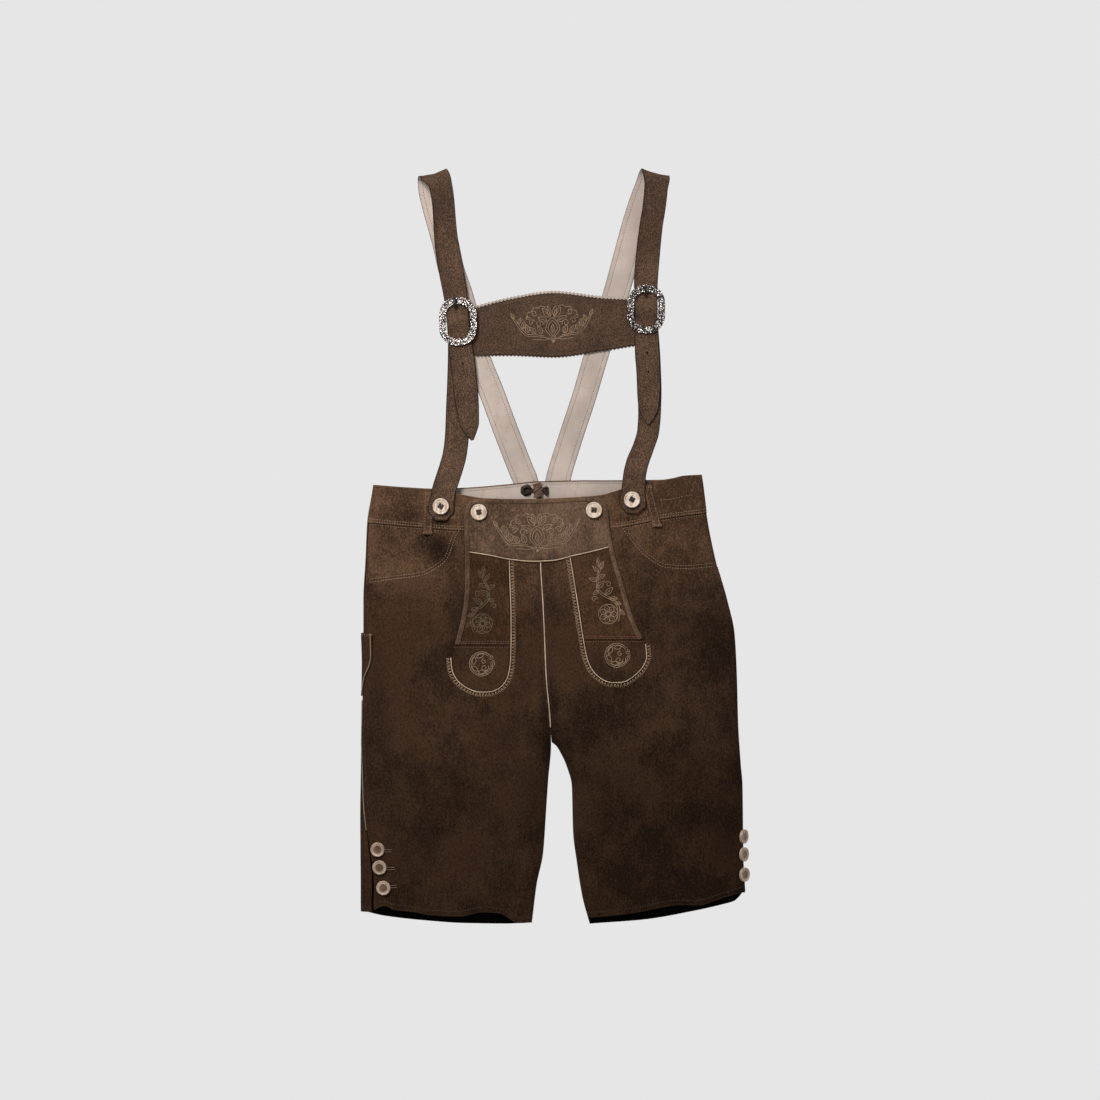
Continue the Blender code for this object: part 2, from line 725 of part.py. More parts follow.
# A place on a strap's brown face: heading and tilt turn the strap's width, in degrees from +X.
Stop = namedtuple("Stop", "x y z heading tilt width")

STRAP_END_LIFT = 2.0 + STRAP  # the lower straps' brown face above the waistband


def on_waist(x, y, heading, width):
    """A stop on the waistband."""
    return Stop(x, y, on_front(x, y, 0)[0].z + STRAP_END_LIFT, heading, 0, width)


SHOULDER_ROUTES = {
    "right": [
        Stop(-106.9, 137.5, 3.8, 14, 0, 3),
        Stop(-108.6, 145, 4.0, 13, 0, 13),
        Stop(-110.8, 158.6, 4.4, 9, 0, 24.5),
        Stop(-115.4, 200.2, 7.2, 5, 0, 31),
        Stop(-119.3, 238, 9.8, 4, 0, 31),
        Stop(-122.3, 259, 9.8, 4, 0, 30.5),
        Stop(-124.1, 276, 9.9, 4, 0, 28.4),
        Stop(-125.5, 290.8, 14.2, 4, 0, 28.4),
        Stop(-126.8, 306, 9.9, 5, 0, 29),
        Stop(-128.5, 322.4, 9.8, 6, 0, 30),
        Stop(-134.2, 356.2, 11, 7, -8, 31.5),
        Stop(-139, 385.4, 13, 4, -18, 32),
        Stop(-141.4, 410.8, 15.5, 3, -30, 33),
        Stop(-143.3, 440.7, 18.5, 3, -36, 34),
        Stop(-146.6, 462.8, 20, 8, -34, 35),
        Stop(-151.8, 475.8, 17.5, 14, -18, 36.5),
        Stop(-157.5, 482.2, 10.5, 16, 0, 37),
        Stop(-159.6, 478, 3.2, 14, 0, 36.5),
        Stop(-159.4, 466.7, 0, 12, 0, 35.5),
        Stop(-155.4, 444.6, 0, 12, 0, 34.5),
        Stop(-148.9, 419.9, 0, 12, 0, 34),
        Stop(-141.2, 390, 0, 10, 0, 33.5),
        Stop(-135, 361.4, 0, 12, 0, 33),
        Stop(-123, 326.3, 0, 16, 0, 32.5),
        Stop(-100.4, 245.7, 0, 18, 0, 31.8),
        Stop(-81.8, 198.9, 0, 21, 0, 31.6),
        Stop(-63.6, 150, 0, 20, 0, 31.6),
        Stop(-52, 120, 0.9, 20, 0, 31.6),
        Stop(-43, 97, 2.9, 20, 0, 31.6),
        Stop(-37.8, 84, 3.5, 16, 0, 31.5),
        Stop(-35.4, 66, 3.5, 5, 0, 31),
        Stop(-35, 54, 3.5, 0, 0, 28),
    ],
    "left": [
        Stop(121.4, 158, 4.8, 0, 0, 3),
        Stop(121.6, 166, 5.0, 0, 0, 14),
        Stop(121.8, 178, 5.5, 0, 0, 25),
        Stop(122, 200, 6.3, 0, 0, 29.5),
        Stop(121.4, 225.8, 7.6, -2, 0, 30.5),
        Stop(119.7, 250.6, 9.8, -2, 0, 31),
        Stop(119, 273, 9.8, -1, 0, 30.5),
        Stop(118.6, 291.6, 9.9, 0, 0, 29),
        Stop(118.4, 306.4, 14.2, 0, 0, 29),
        Stop(118.2, 321.6, 9.9, 0, 0, 29),
        Stop(118, 338, 9.8, -2, 0, 30),
        Stop(121.2, 380.9, 12, -6, -14, 31.5),
        Stop(125.1, 415.4, 16, -8, -24, 32.5),
        Stop(128.4, 435.5, 18.5, -7, -28, 33.5),
        Stop(131.2, 462, 20, -8, -30, 35),
        Stop(131.8, 476, 17.5, -12, -18, 36.5),
        Stop(130.2, 483.2, 10.5, -15, 0, 37),
        Stop(127, 479, 3.2, -15, 0, 36.5),
        Stop(123.4, 469, 0, -16, 0, 36),
        Stop(115.5, 450.2, 0, -18, 0, 34.5),
        Stop(105.6, 420.3, 0, -17, 0, 34),
        Stop(93.1, 375.7, 0, -16, 0, 33.5),
        Stop(79.6, 328.2, 0, -18, 0, 32.5),
        Stop(67.6, 291.2, 0, -18, 0, 31.5),
        Stop(56, 254.8, 0, -17, 0, 31),
        Stop(38, 193.7, 0, -17, 0, 30.6),
        Stop(23.6, 150, 0, -17, 0, 30.6),
        Stop(14, 120, 0.9, -17, 0, 30.8),
        Stop(7.2, 98, 2.9, -17, 0, 31),
        Stop(4, 84, 3.5, -14, 0, 31.5),
        Stop(1.2, 68, 3.5, -5, 0, 31),
        Stop(0.8, 57, 3.5, 0, 0, 28),
    ],
}
LINING_FROM = {"right": 10, "left": 11}  # the stop above the buckle where the lining begins

LOWER_ROUTES = {
    "right": [
        on_waist(-147, 33, 0, 13.5),
        on_waist(-147, 36.5, 0, 19.5),
        on_waist(-147, 41, 0, 27),
        on_waist(-147, 44.5, 0, 33),
        on_waist(-146.8, 50, -3, 33),
        on_waist(-145.4, 60, -8, 30.8),
        on_waist(-143.3, 71.5, -13, 30.5),
        Stop(-138.2, 88.4, 15, -15, -3, 30.5),
        Stop(-133.8, 103, 9, -16, -3, 30.5),
        Stop(-129.6, 121, 3.2, -13, 0, 30.5),
        Stop(-127, 145.6, 1.7, -9, 0, 30.5),
        Stop(-126.2, 166, 1.9, -5, 0, 30.5),
        Stop(-125.2, 190, 3.6, -3, 0, 30.5),
        Stop(-124.2, 209, 5.2, -1, 0, 30.5),
        Stop(-123.4, 242, 7.8, 1, 0, 30),
        Stop(-123.2, 257.4, 7.9, 3, 0, 30),
        Stop(-123.9, 274, 8.0, 4, 0, 29),
        Stop(-125, 288, 9.3, 4, 0, 29),
        Stop(-125.1, 297, 9.4, 4, 0, 28),
    ],
    "left": [
        on_waist(99.3, 42, 2, 14.5),
        on_waist(99.6, 46, 3, 21.5),
        on_waist(100, 50, 4, 28.5),
        on_waist(100.4, 53.5, 5, 34.6),
        on_waist(100.7, 58, 6, 34.2),
        on_waist(101.3, 70, 8, 30),
        on_waist(102.3, 82, 8, 29.5),
        Stop(103.8, 95, 16.8, 10, -3, 29),
        Stop(107.4, 109, 10.5, 16, -8, 28.5),
        Stop(115.4, 129, 4.2, 24, -8, 27),
        Stop(121.5, 150, 2.0, 14, 0, 28),
        Stop(123.2, 175, 3.0, 6, 0, 29),
        Stop(123.3, 200.2, 3.9, 0, 0, 30),
        Stop(122.6, 225, 5.4, -2, 0, 30),
        Stop(120.9, 256, 7.8, -2, 0, 30),
        Stop(119.6, 273, 7.9, -3, 0, 30),
        Stop(118.8, 289.4, 8.0, -2, 0, 29),
        Stop(118.4, 303.6, 9.3, 0, 0, 29),
        Stop(118.4, 312, 9.4, 0, 0, 28),
    ],
}


def strap_surface(route):
    """The brown face of a strap along its route: surface(aside, place), with aside from -0.5 to 0.5."""
    places = [0.0]
    for before, after in zip(route, route[1:]):
        step = Vector((after.x - before.x, after.y - before.y, after.z - before.z))
        places.append(places[-1] + step.length)
    curves = {
        column: Smooth([(place, getattr(stop, column)) for place, stop in zip(places, route)])
        for column in Stop._fields
    }

    def middle(place):
        return Vector((curves["x"](place), curves["y"](place), curves["z"](place)))

    def surface(aside, place):
        reach = 0.4
        run = (middle(min(place + reach, places[-1])) - middle(max(place - reach, 0))).normalized()
        heading, tilt = math.radians(curves["heading"](place)), math.radians(curves["tilt"](place))
        width = Vector(
            (math.cos(heading) * math.cos(tilt), math.sin(heading) * math.cos(tilt), math.sin(tilt))
        )
        width = (width - run * width.dot(run)).normalized()
        point = middle(place) + width * (aside * curves["width"](place))
        point.z = max(point.z, 0)  # the floor
        return point, width.cross(run)

    return surface, places


def strap_steps(places, parts=2):
    """The places of a strap's cross rows: each stop, and the rows between two stops."""
    steps = [
        between(before, after, part / parts)
        for before, after in zip(places, places[1:])
        for part in range(parts)
    ]
    return steps + [places[-1]]


def make_shoulder_strap(half):
    surface, places = strap_surface(SHOULDER_ROUTES[half.name])

    wall(f"shoulder_strap_{half.name}", surface, [-0.5, 0.5], strap_steps(places), STRAP, "strap_leather")

    def inside(aside, place):
        point, out = surface(aside, place)
        return point - out * (STRAP + GAP), out

    lined = strap_steps(places[LINING_FROM[half.name] :])
    wall(f"strap_lining_{half.name}", inside, [-0.49, 0.49], lined, LINING, "cream_leather")


def make_lower_strap(half):
    surface, places = strap_surface(LOWER_ROUTES[half.name])
    steps = strap_steps(places)
    wall(f"lower_strap_{half.name}", surface, [-0.5, 0, 0.5], steps, STRAP, "strap_leather")


# The chest strap: its top and bottom line across x.
CHEST_TOP = [(-129, 303.5), (-102, 309.7), (-57, 320.8), (-2, 328.8), (62, 322), (95, 320.3), (121, 318.5)]
CHEST_BOTTOM = [(-129, 246.3), (-57, 247), (-2, 244.9), (62, 252.9), (95, 258.3), (121, 262.6)]
CHEST_PLACES = [-129, -102, -80, -57, -30, -2, 25, 50, 72, 95, 121]
BACK_STRAP = STRAP + GAP + LINING  # a lined strap lying on the floor
BACKING_EDGE = 3.0  # how far the backing stands out at the top


def make_chest_strap():
    top, bottom = Smooth(CHEST_TOP), Smooth(CHEST_BOTTOM)
    backing_top = BACK_STRAP + GAP + LINING

    def leather(x, step):
        y = between(top(x), bottom(x), step)
        return Vector((x, y, backing_top + GAP + STRAP)), Vector((0, 0, 1))

    def backing(x, step):
        y = between(top(x) + BACKING_EDGE, bottom(x) + 1, step)
        return Vector((x, y, backing_top)), Vector((0, 0, 1))

    wall("chest_strap", leather, CHEST_PLACES, [0, 0.5, 1], STRAP, "strap_leather")
    wall("chest_strap_backing", backing, CHEST_PLACES, [0, 1], LINING, "cream_leather")


# ---------------------------------------------------------------------------------------------------------------
# Buckles, buttons and lacing

BUCKLE_CENTRES = {"right": (-125.4, 290.8), "left": (118.4, 306.4)}
BUCKLE_HALF_WIDTH, BUCKLE_HALF_HEIGHT = 24.4, 31.4
BUCKLE_RIM = 8.9  # width of the frame
BUCKLE_THICK = 3.6
BUCKLE_BASE = 10.2  # the frame's underside, on the strap's tail
BUCKLE_SQUARENESS = 2.45
BAR_RADIUS, PRONG_RADIUS = 1.0, 1.4
PRONG_ASIDE = {"right": -3.4, "left": -1.2}  # where the prong comes out of its hole


def buckle_edge(angle, half_width, half_height):
    """A point of the buckle's rounded outline."""
    c, s = math.cos(angle), math.sin(angle)
    power = 2 / BUCKLE_SQUARENESS
    return Vector(
        (
            half_width * math.copysign(abs(c) ** power, c),
            half_height * math.copysign(abs(s) ** power, s),
            0,
        )
    )


def make_buckle(half):
    x, y = BUCKLE_CENTRES[half.name]
    segments, sides = 28, 6
    mesh = bmesh.new()
    rings = []
    for k in range(segments):
        angle = math.tau * k / segments
        outer = buckle_edge(angle, BUCKLE_HALF_WIDTH, BUCKLE_HALF_HEIGHT)
        inner = buckle_edge(angle, BUCKLE_HALF_WIDTH - BUCKLE_RIM, BUCKLE_HALF_HEIGHT - BUCKLE_RIM)
        middle, reach = (outer + inner) / 2, (outer - inner) / 2
        ring = []
        for side in range(sides):
            turn = math.tau * side / sides
            rise = Vector((0, 0, BUCKLE_THICK / 2 * math.sin(turn) / math.sin(math.pi / 3)))
            ring.append(mesh.verts.new((middle + reach * math.cos(turn) + rise) * METRES))
        rings.append(ring)
    for here, there in zip(rings, rings[1:] + rings[:1]):
        for side in range(sides):
            after = (side + 1) % sides
            mesh.faces.new((here[side], there[side], there[after], here[after]))
    bmesh.ops.recalc_face_normals(mesh, faces=mesh.faces)
    data = bpy.data.meshes.new(f"buckle_{half.name}")
    mesh.to_mesh(data)
    mesh.free()
    data.shade_smooth()
    frame = add_object(f"buckle_{half.name}", data, "silver")
    frame.location = Vector((x, y, BUCKLE_BASE + BUCKLE_THICK / 2)) * METRES
    reach = BUCKLE_HALF_WIDTH - BUCKLE_RIM - GAP - 0.1
    bar_height = BUCKLE_BASE + BAR_RADIUS - 0.2
    bar = [Vector((x + reach * side, y, bar_height)) for side in (-1, 0, 1)]
    tube(f"buckle_bar_{half.name}", bar, BAR_RADIUS, "silver")
    prong_height = BUCKLE_BASE + BUCKLE_THICK + GAP + PRONG_RADIUS + 0.1
    climb = [(14.5, -3.2), (18, -1.8), (21.5, 0), (BUCKLE_HALF_HEIGHT - 1.5, 0)]
    prong = [Vector((x + PRONG_ASIDE[half.name], y + along, prong_height + rise)) for along, rise in climb]
    tube(f"buckle_prong_{half.name}", prong, PRONG_RADIUS, "silver")


BUTTON_RADIUS = 10.4
BUTTON_THICK = 4.0
HEM_BUTTON_RADIUS = 9.2
HEM_BUTTON_THICK = 3.4
BACK_BUTTON_THICK = 3.2


def button(name, centre, axis, radius, thick):
    """A dished horn button whose underside is at centre."""
    profile = [
        (0, thick * 0.62),
        (radius * 0.5, thick * 0.62),
        (radius * 0.72, thick),
        (radius * 0.9, thick),
        (radius, thick * 0.55),
        (radius * 0.86, 0),
        (0, 0),
    ]
    turned(name, profile, centre, axis, "horn")


HEM_BUTTONS = {
    "right": ((-228.7, -392.2), (-226.3, -415.5), (-221.5, -442)),
    "left": ((0, -376.6), (0, -399.8), (0, -426.1)),  # on the side seam, so x comes from the fold
}
LEFT_BUTTON_RISE = 3.0  # how high the left hem buttons sit above the fold


def make_buttons():
    strap_places = {"right": (-147.2, 51), "left": (99.6, 59.7)}
    flap_places = {"right": (-98, 43.4), "left": (50.5, 46)}
    back_places = {"right": (-35.4, 67), "left": (1.2, 69)}
    for half in HALVES:
        x, y = strap_places[half.name]
        base, out = on_front(x, y, 0)
        base = base + Vector((0, 0, STRAP_END_LIFT + GAP + 0.3))
        button(f"strap_button_{half.name}", base, out, BUTTON_RADIUS, BUTTON_THICK)
        x, y = flap_places[half.name]
        base, out = on_front(x, y, FLAP_TOP + GAP + 0.1)
        button(f"flap_button_{half.name}", base, out, BUTTON_RADIUS, BUTTON_THICK)
        x, y = back_places[half.name]
        button(f"back_button_{half.name}", Vector((x, y, 0)), Vector((0, 0, 1)), BUTTON_RADIUS, BACK_BUTTON_THICK)
        for k, (x, y) in enumerate(HEM_BUTTONS[half.name]):
            if half is LEFT:
                base, out = half.over(LEFT_BUTTON_RISE, y, GAP + 0.2)
            else:
                base, out = on_front(x, y, GAP + 0.1)
            button(f"hem_button_{half.name}_{k + 1}", base, out, HEM_BUTTON_RADIUS, HEM_BUTTON_THICK)


# The back lacing: a bow of soft leather ribbon that lies on the waistband's facing.
LACE_MIDDLE = Vector((-22.2, 72.2, BACK_LIFT + PANEL + GAP + LINING + GAP))
LACE_THICK = 1.3
LACE_STANDS = 4.4  # how high the ribbon of the loops stands
LACE_LEANS = {"right": 2.6, "left": 1.0}  # how far its upper edge leans into the loop
LACE_LOOPS = {  # each loop's path from the middle of the knot
    "right": [(-9.4, 4), (-12.4, 6), (-17, 5), (-20.6, 1), (-20, -3.6), (-16, -6.2), (-12, -5.6), (-9.4, -3.6)],
    "left": [(9.4, 2.4), (10.4, 4), (11.8, 3.6), (12.9, 0.6), (12.5, -3.4), (11.4, -5.2), (10.2, -5), (9.4, -3.4)],
}
KNOT = Vector((7.3, 9.6, 3.1))  # half the knot's width, length and height


def bow_loop(points, step):
    """Points about step apart along a smooth curve through the points of a path in the plane."""
    places = [0.0]
    for before, after in zip(points, points[1:]):
        places.append(places[-1] + math.dist(before, after))
    xs = Smooth([(place, point[0]) for place, point in zip(places, points)])
    ys = Smooth([(place, point[1]) for place, point in zip(places, points)])
    count = round(places[-1] / step)
    return [Vector((xs(places[-1] * k / count), ys(places[-1] * k / count), 0)) for k in range(count + 1)]


def make_lacing():
    """The knot of the back lacing, and a loop on each side of it."""
    for half in HALVES:
        path = bow_loop(LACE_LOOPS[half.name], 1.6)

        def surface(aside, k):
            run = path[min(k + 1, len(path) - 1)] - path[max(k - 1, 0)]
            out = Vector((-run.y, run.x, 0)).normalized() * -half.side
            lean = Vector((0, 0, LACE_STANDS)) + out * LACE_LEANS[half.name]
            return LACE_MIDDLE + path[k] + lean * (aside + 0.5), out

        steps = list(range(len(path)))
        wall(f"back_lacing_loop_{half.name}", surface, [-0.5, 0.5], steps, LACE_THICK, "cord")
    bpy.ops.mesh.primitive_uv_sphere_add(segments=18, ring_count=10, radius=1)
    knot = bpy.context.object
    for vertex in knot.data.vertices:  # a bunched ribbon: squarer than a ball, with slanting folds
        side = vertex.co.normalized()
        square = Vector([math.copysign(abs(value) ** 0.7, value) for value in side])
        fold = 1 + 0.07 * math.sin(5 * side.x + 9 * side.y) * (side.z > 0)
        vertex.co = Vector([value * reach for value, reach in zip(square, KNOT)]) * fold * METRES
    data = knot.data
    data.name = "back_lacing_knot"
    bpy.data.objects.remove(knot)
    data.shade_smooth()
    knot = add_object("back_lacing_knot", data, "cord")
    knot.location = (LACE_MIDDLE + Vector((0, 0, KNOT.z * 1.08))) * METRES


def main():
    for old in list(bpy.data.objects):
        bpy.data.objects.remove(old)
    bpy.context.scene.collection.children.link(bpy.data.collections.new("lederhosen"))
    for name in FINISHES:
        make_material(name)
    make_trousers()
    make_front_pieces()
    for half in HALVES:
        make_shoulder_strap(half)
        make_lower_strap(half)
        make_buckle(half)
    make_chest_strap()
    make_buttons()
    make_lacing()


main()
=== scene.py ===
"""Lederhosen laid flat on their back: suede shorts with a drop flap, shoulder straps and a chest strap.

The tables below are in millimetres and the objects are made in metres. +X is to the viewer's right, +Y runs from
the hems to the shoulder straps and +Z is up. Right and left in the names are the wearer's, so the right leg lies
toward -X. Each piece of leather is laid out on the surface of the trousers or on the route of its strap, stitched
along its edges and given its thickness.
"""

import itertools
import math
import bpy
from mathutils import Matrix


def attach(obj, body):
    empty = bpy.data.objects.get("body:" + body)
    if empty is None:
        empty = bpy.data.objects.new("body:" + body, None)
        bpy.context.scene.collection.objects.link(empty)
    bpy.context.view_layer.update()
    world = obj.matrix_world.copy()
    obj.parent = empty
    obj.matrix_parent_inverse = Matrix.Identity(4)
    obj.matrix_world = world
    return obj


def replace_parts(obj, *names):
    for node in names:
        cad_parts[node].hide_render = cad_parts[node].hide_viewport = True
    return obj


bl_info = {
    "name": "Lederhosen",
    "version": (1, 0, 0),
    "blender": (4, 5, 0),
    "location": "View3D > Sidebar > Lederhosen",
    "description": "Builds leather shorts with a drop flap, straps, buckles and horn buttons, laid flat",
    "category": "Object",
}

from bisect import bisect_right
from collections import namedtuple

import bmesh
import bpy
import numpy as np
from mathutils import Matrix, Vector, noise

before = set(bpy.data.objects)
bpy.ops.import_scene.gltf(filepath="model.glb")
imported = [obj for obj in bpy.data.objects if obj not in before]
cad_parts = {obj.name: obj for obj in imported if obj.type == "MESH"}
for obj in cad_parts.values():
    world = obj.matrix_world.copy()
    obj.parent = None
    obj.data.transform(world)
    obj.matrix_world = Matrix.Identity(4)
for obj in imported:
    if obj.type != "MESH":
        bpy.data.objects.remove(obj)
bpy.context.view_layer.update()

MM = 0.001  # one millimetre, in metres
UP = Vector((0, 0, 1))

GAP = 0.3  # left between pieces that touch
HALF_GAP = GAP / 2
SIDE_GAP = 0.3  # half the gap at the right side seam, whose line bends more
PANEL = 1.5  # leather of the legs and the waistband
FLAP = 1.8  # leather of the drop flap
FLAP_LIFT = 0.5  # the flap's underside above the panels
FLAP_TOP = FLAP_LIFT + FLAP
STRAP = 1.6  # leather of the straps
LINING = 1.0  # cream lining of the straps and the waistband
PIPING = 0.7  # radius of the piping

FOLD = 4.0  # radius of the fold where a panel turns up from the floor
ROUNDNESS = 4.0  # how squarely the top of a section turns down to its folds
LEFT_SEAM = math.radians(28)  # the left side seam lies this far under its fold

# Smooth curves through short tables


class Smooth:
    """A smooth curve through (place, value) pairs that never overshoots them."""

    def __init__(self, pairs):
        pairs = sorted(pairs)
        self.places = [place for place, _ in pairs]
        self.values = [value for _, value in pairs]
        rises = [
            (v1 - v0) / (p1 - p0)
            for p0, p1, v0, v1 in zip(self.places, self.places[1:], self.values, self.values[1:])
        ]
        self.slopes = [rises[0]]
        for before, after in zip(rises, rises[1:]):
            turning = before * after <= 0
            self.slopes.append(0 if turning else 2 * before * after / (before + after))
        self.slopes.append(rises[-1])

    def __call__(self, place):
        place = min(max(place, self.places[0]), self.places[-1])
        k = min(bisect_right(self.places, place) - 1, len(self.places) - 2)
        span = self.places[k + 1] - self.places[k]
        t = (place - self.places[k]) / span
        return (
            self.values[k] * (1 + 2 * t) * (1 - t) ** 2
            + self.values[k + 1] * t * t * (3 - 2 * t)
            + span * t * (1 - t) * (self.slopes[k] * (1 - t) - self.slopes[k + 1] * t)
        )


def table(kind, *values):
    """A table of named tuples."""
    return [kind(*value) for value in values]


def between(low, high, t):
    return low + (high - low) * t


def toward(degrees, reach=1.0):
    """The vector of a length in the plane, degrees from +X."""
    return Vector((math.cos(math.radians(degrees)), math.sin(math.radians(degrees)))) * reach


def part(value, start, end):
    """How far a value is on the way from start to end, from 0 to 1."""
    return min(max((value - start) / (end - start), 0), 1)


def ramp(value, start, end):
    """0 at start, 1 at end, and smooth between them."""
    t = part(value, start, end)
    return t * t * (3 - 2 * t)


def route(points, step, smooth=True):
    """Points every step along a curve or a broken line through the points of a path in the plane."""
    places = [0.0]
    for before, after in zip(points, points[1:]):
        places.append(places[-1] + math.dist(before, after))
    count = max(round(places[-1] / step), 1)
    wanted = [places[-1] * k / count for k in range(count + 1)]
    if not smooth:
        return [Vector(spot) for spot in zip(*(np.interp(wanted, places, line) for line in zip(*points)))]
    curves = [Smooth(zip(places, line)) for line in zip(*points)]
    return [Vector([curve(place) for curve in curves]) for place in wanted]


def fractions(span, step, close=(0.5, 1.2, 2.0, 3.0, 4.4, 6.2)):
    """Shares from 0 to 1 of a span, about step apart and closer together near its two edges."""
    near = [place / span for place in close if place < span / 3]
    count = max(round(span * (1 - 2 * near[-1]) / step), 1)
    middle = [between(near[-1], 1 - near[-1], k / count) for k in range(count + 1)]
    return [0, *near[:-1], *middle, *(1 - place for place in reversed(near[:-1])), 1]


# The two halves of the trousers

# A section across one half at y: its inner and outer edge, and how high its crest stands.
Section = namedtuple("Section", "y inner outer height")

CROTCH = -258  # where the four leg panels meet
CLOSING = -150  # from here down to the crotch the halves close into tubes

RIGHT_SECTIONS = table(
    Section,
    (93, -19.2, -235, 15), (79, -19.2, -236, 15.5), (30, -19.2, -243.6, 18),
    (-18, -18.5, -245.8, 21), (-70, -15.5, -248.5, 23.5), (-114, -13.3, -248.5, 25),
    (-169, -11, -249, 25.5), (-226, -5.8, -250.5, 25), (-258, -4.6, -251.5, 25),
    (-303, -8.3, -252, 24), (-343, -11, -252.6, 22.5), (-399, -15, -252.3, 19.5),
    (-439, -23.3, -252, 17), (-490, -29.6, -252, 14),
)
LEFT_SECTIONS = table(
    Section,
    (93, -19.2, 191, 15), (79, -19.2, 193, 15.5), (36, -19.2, 198.6, 18),
    (-18, -18.5, 209.4, 21), (-70, -15.5, 224, 23.5), (-114, -13.3, 233.5, 25),
    (-169, -11, 236.5, 25.5), (-226, -5.8, 238, 25), (-254, -4.2, 239.4, 25),
    (-259, 1.8, 239.8, 24.9), (-266, 6, 240.3, 24.8), (-283, 14.2, 241.5, 24.5),
    (-311, 21.9, 243.8, 23.8), (-370, 23.5, 244.5, 21), (-412, 28.7, 245.2, 18.5),
    (-454, 35.4, 248, 16), (-490, 45, 250, 14),
)

# The lines across each half, from its inner edge at 0 to its outer edge at 1.
RIGHT_LINES = {
    "waist": [(0, 59.8), (0.1, 60), (0.3, 61.1), (0.49, 67), (0.64, 72.9), (0.8, 75.1), (1, 79)],
    "seam": [(0, 18.2), (0.45, 20.2), (0.77, 25.6), (1, 30.3)],
    "pocket": [(0.44, 26), (0.477, 13), (0.528, -17.5), (0.6, -31.2), (0.67, -39), (0.83, -44.2), (1, -49.4)],
    "hem": [
        (0, -488.3), (0.08, -488.5), (0.14, -483.5), (0.21, -475.5), (0.32, -474), (0.46, -479.3), (0.66, -477.5),
        (0.74, -474), (0.88, -470.6), (0.93, -465.7), (1, -471.3),
    ],
    "back_waist": [(0, 83.7), (0.25, 78.5), (0.45, 75.5), (0.64, 74.3), (0.81, 76), (1, 79)],
    "back_seam": [(0, 36), (1, 30.3)],
    "back_hem": [(0, -489), (0.14, -490.4), (0.39, -489.7), (0.63, -486.2), (0.88, -480), (1, -474)],
}
LEFT_LINES = {
    "waist": [
        (0, 59.8), (0.12, 60), (0.3, 64), (0.36, 65.4), (0.49, 72.9), (0.65, 83.7), (0.78, 86), (0.89, 91), (1, 92.4),
    ],
    "seam": [(0, 18.2), (0.43, 23.4), (0.63, 30.9), (0.7, 34.2), (1, 42.9)],
    "pocket": [
        (0.46, 29), (0.478, 22), (0.507, 12), (0.545, -0.5), (0.61, -17.5), (0.7, -29), (0.8, -30.6), (1, -27.3),
    ],
    "hem": [(0, -482), (0.28, -475.3), (0.61, -464.4), (0.69, -464.9), (0.87, -454.7), (1, -447.2)],
    "back_waist": [(0, 83.7), (0.25, 84.9), (0.5, 85.2), (0.75, 85.8), (0.89, 90), (1, 92.4)],
    "back_seam": [(0, 36), (1, 42.9)],
    "back_hem": [(0, -490.2), (0.34, -485.2), (0.66, -474.6), (0.87, -465.3), (0.95, -460.5), (1, -450)],
}

# How high above its fold the right side seam runs: it comes up onto the front toward the hem.
RIGHT_SEAM_RISE = [
    (93, 1.5), (-150, 1.5), (-223, 3.5), (-303, 6.5), (-338, 7.5), (-368, 8.5), (-411, 9), (-438, 8.3), (-466, 7.2),
    (-490, 6.5),
]

# Soft troughs across the thighs and folds that drag away from the crotch: where each begins and ends, its depth
# and its width.
Crease = namedtuple("Crease", "x0 y0 x1 y1 depth width")
CREASES = table(
    Crease, (-45, -262, -120, -232, 1.6, 13), (-50, -300, -150, -318, 1.3, 16), (45, -262, 125, -228, 1.6, 13),
    (70, -318, 175, -300, 1.3, 16), (-185, -215, -225, -250, 1.2, 14), (180, -190, 220, -240, 1.2, 14),
    (-22, -236, -92, -176, 1.0, 7), (-24, -262, -96, -268, 0.9, 6), (14, -236, 80, -172, 1.0, 7),
    (26, -272, 96, -282, 0.9, 6), (-60, -205, -66, -330, 0.5, 9), (60, -205, 74, -330, 0.5, 9),
    (-120, -380, -200, -372, 0.7, 12), (-70, -405, -150, -424, 0.6, 10), (90, -400, 190, -384, 0.7, 12),
    (110, -350, 205, -345, 0.5, 9), (-238, -250, -205, -300, 0.8, 9), (228, -240, 196, -296, 0.8, 9),
    (-232, -120, -190, -140, 0.6, 10), (214, -110, 172, -134, 0.6, 10),
)

# The middle of the back waist is raised over the strap ends and the two buttons that hold them.
BACK_LIFT = 6.8
LIFT_FROM, LIFT_TO, LIFT_SPREAD = -58, 28, 46
LIFT_LOW, LIFT_HIGH = -8, 50


def back_lift(x, y):
    sides = ramp(x, LIFT_FROM - LIFT_SPREAD, LIFT_FROM) * ramp(x, LIFT_TO + LIFT_SPREAD, LIFT_TO)
    return BACK_LIFT * sides * ramp(y, LIFT_LOW, LIFT_HIGH)


def worn(x, y):
    """The slow waviness of soft leather, never above the surface."""
    broad = 0.5 + 0.5 * noise.noise((x / 62, y / 88, 0.4))
    ripple = 0.5 + 0.5 * noise.noise((x / 21, y / 34, 7.7))
    return 0.9 * broad + 0.45 * ripple


def crease_depth(x, y):
    depth = worn(x, y)
    for crease in CREASES:
        run_x, run_y = crease.x1 - crease.x0, crease.y1 - crease.y0
        share = part((x - crease.x0) * run_x + (y - crease.y0) * run_y, 0, run_x * run_x + run_y * run_y)
        away = math.hypot(x - crease.x0 - run_x * share, y - crease.y0 - run_y * share) / crease.width
        if away < 3:
            depth += crease.depth * math.exp(-away * away)
    return depth


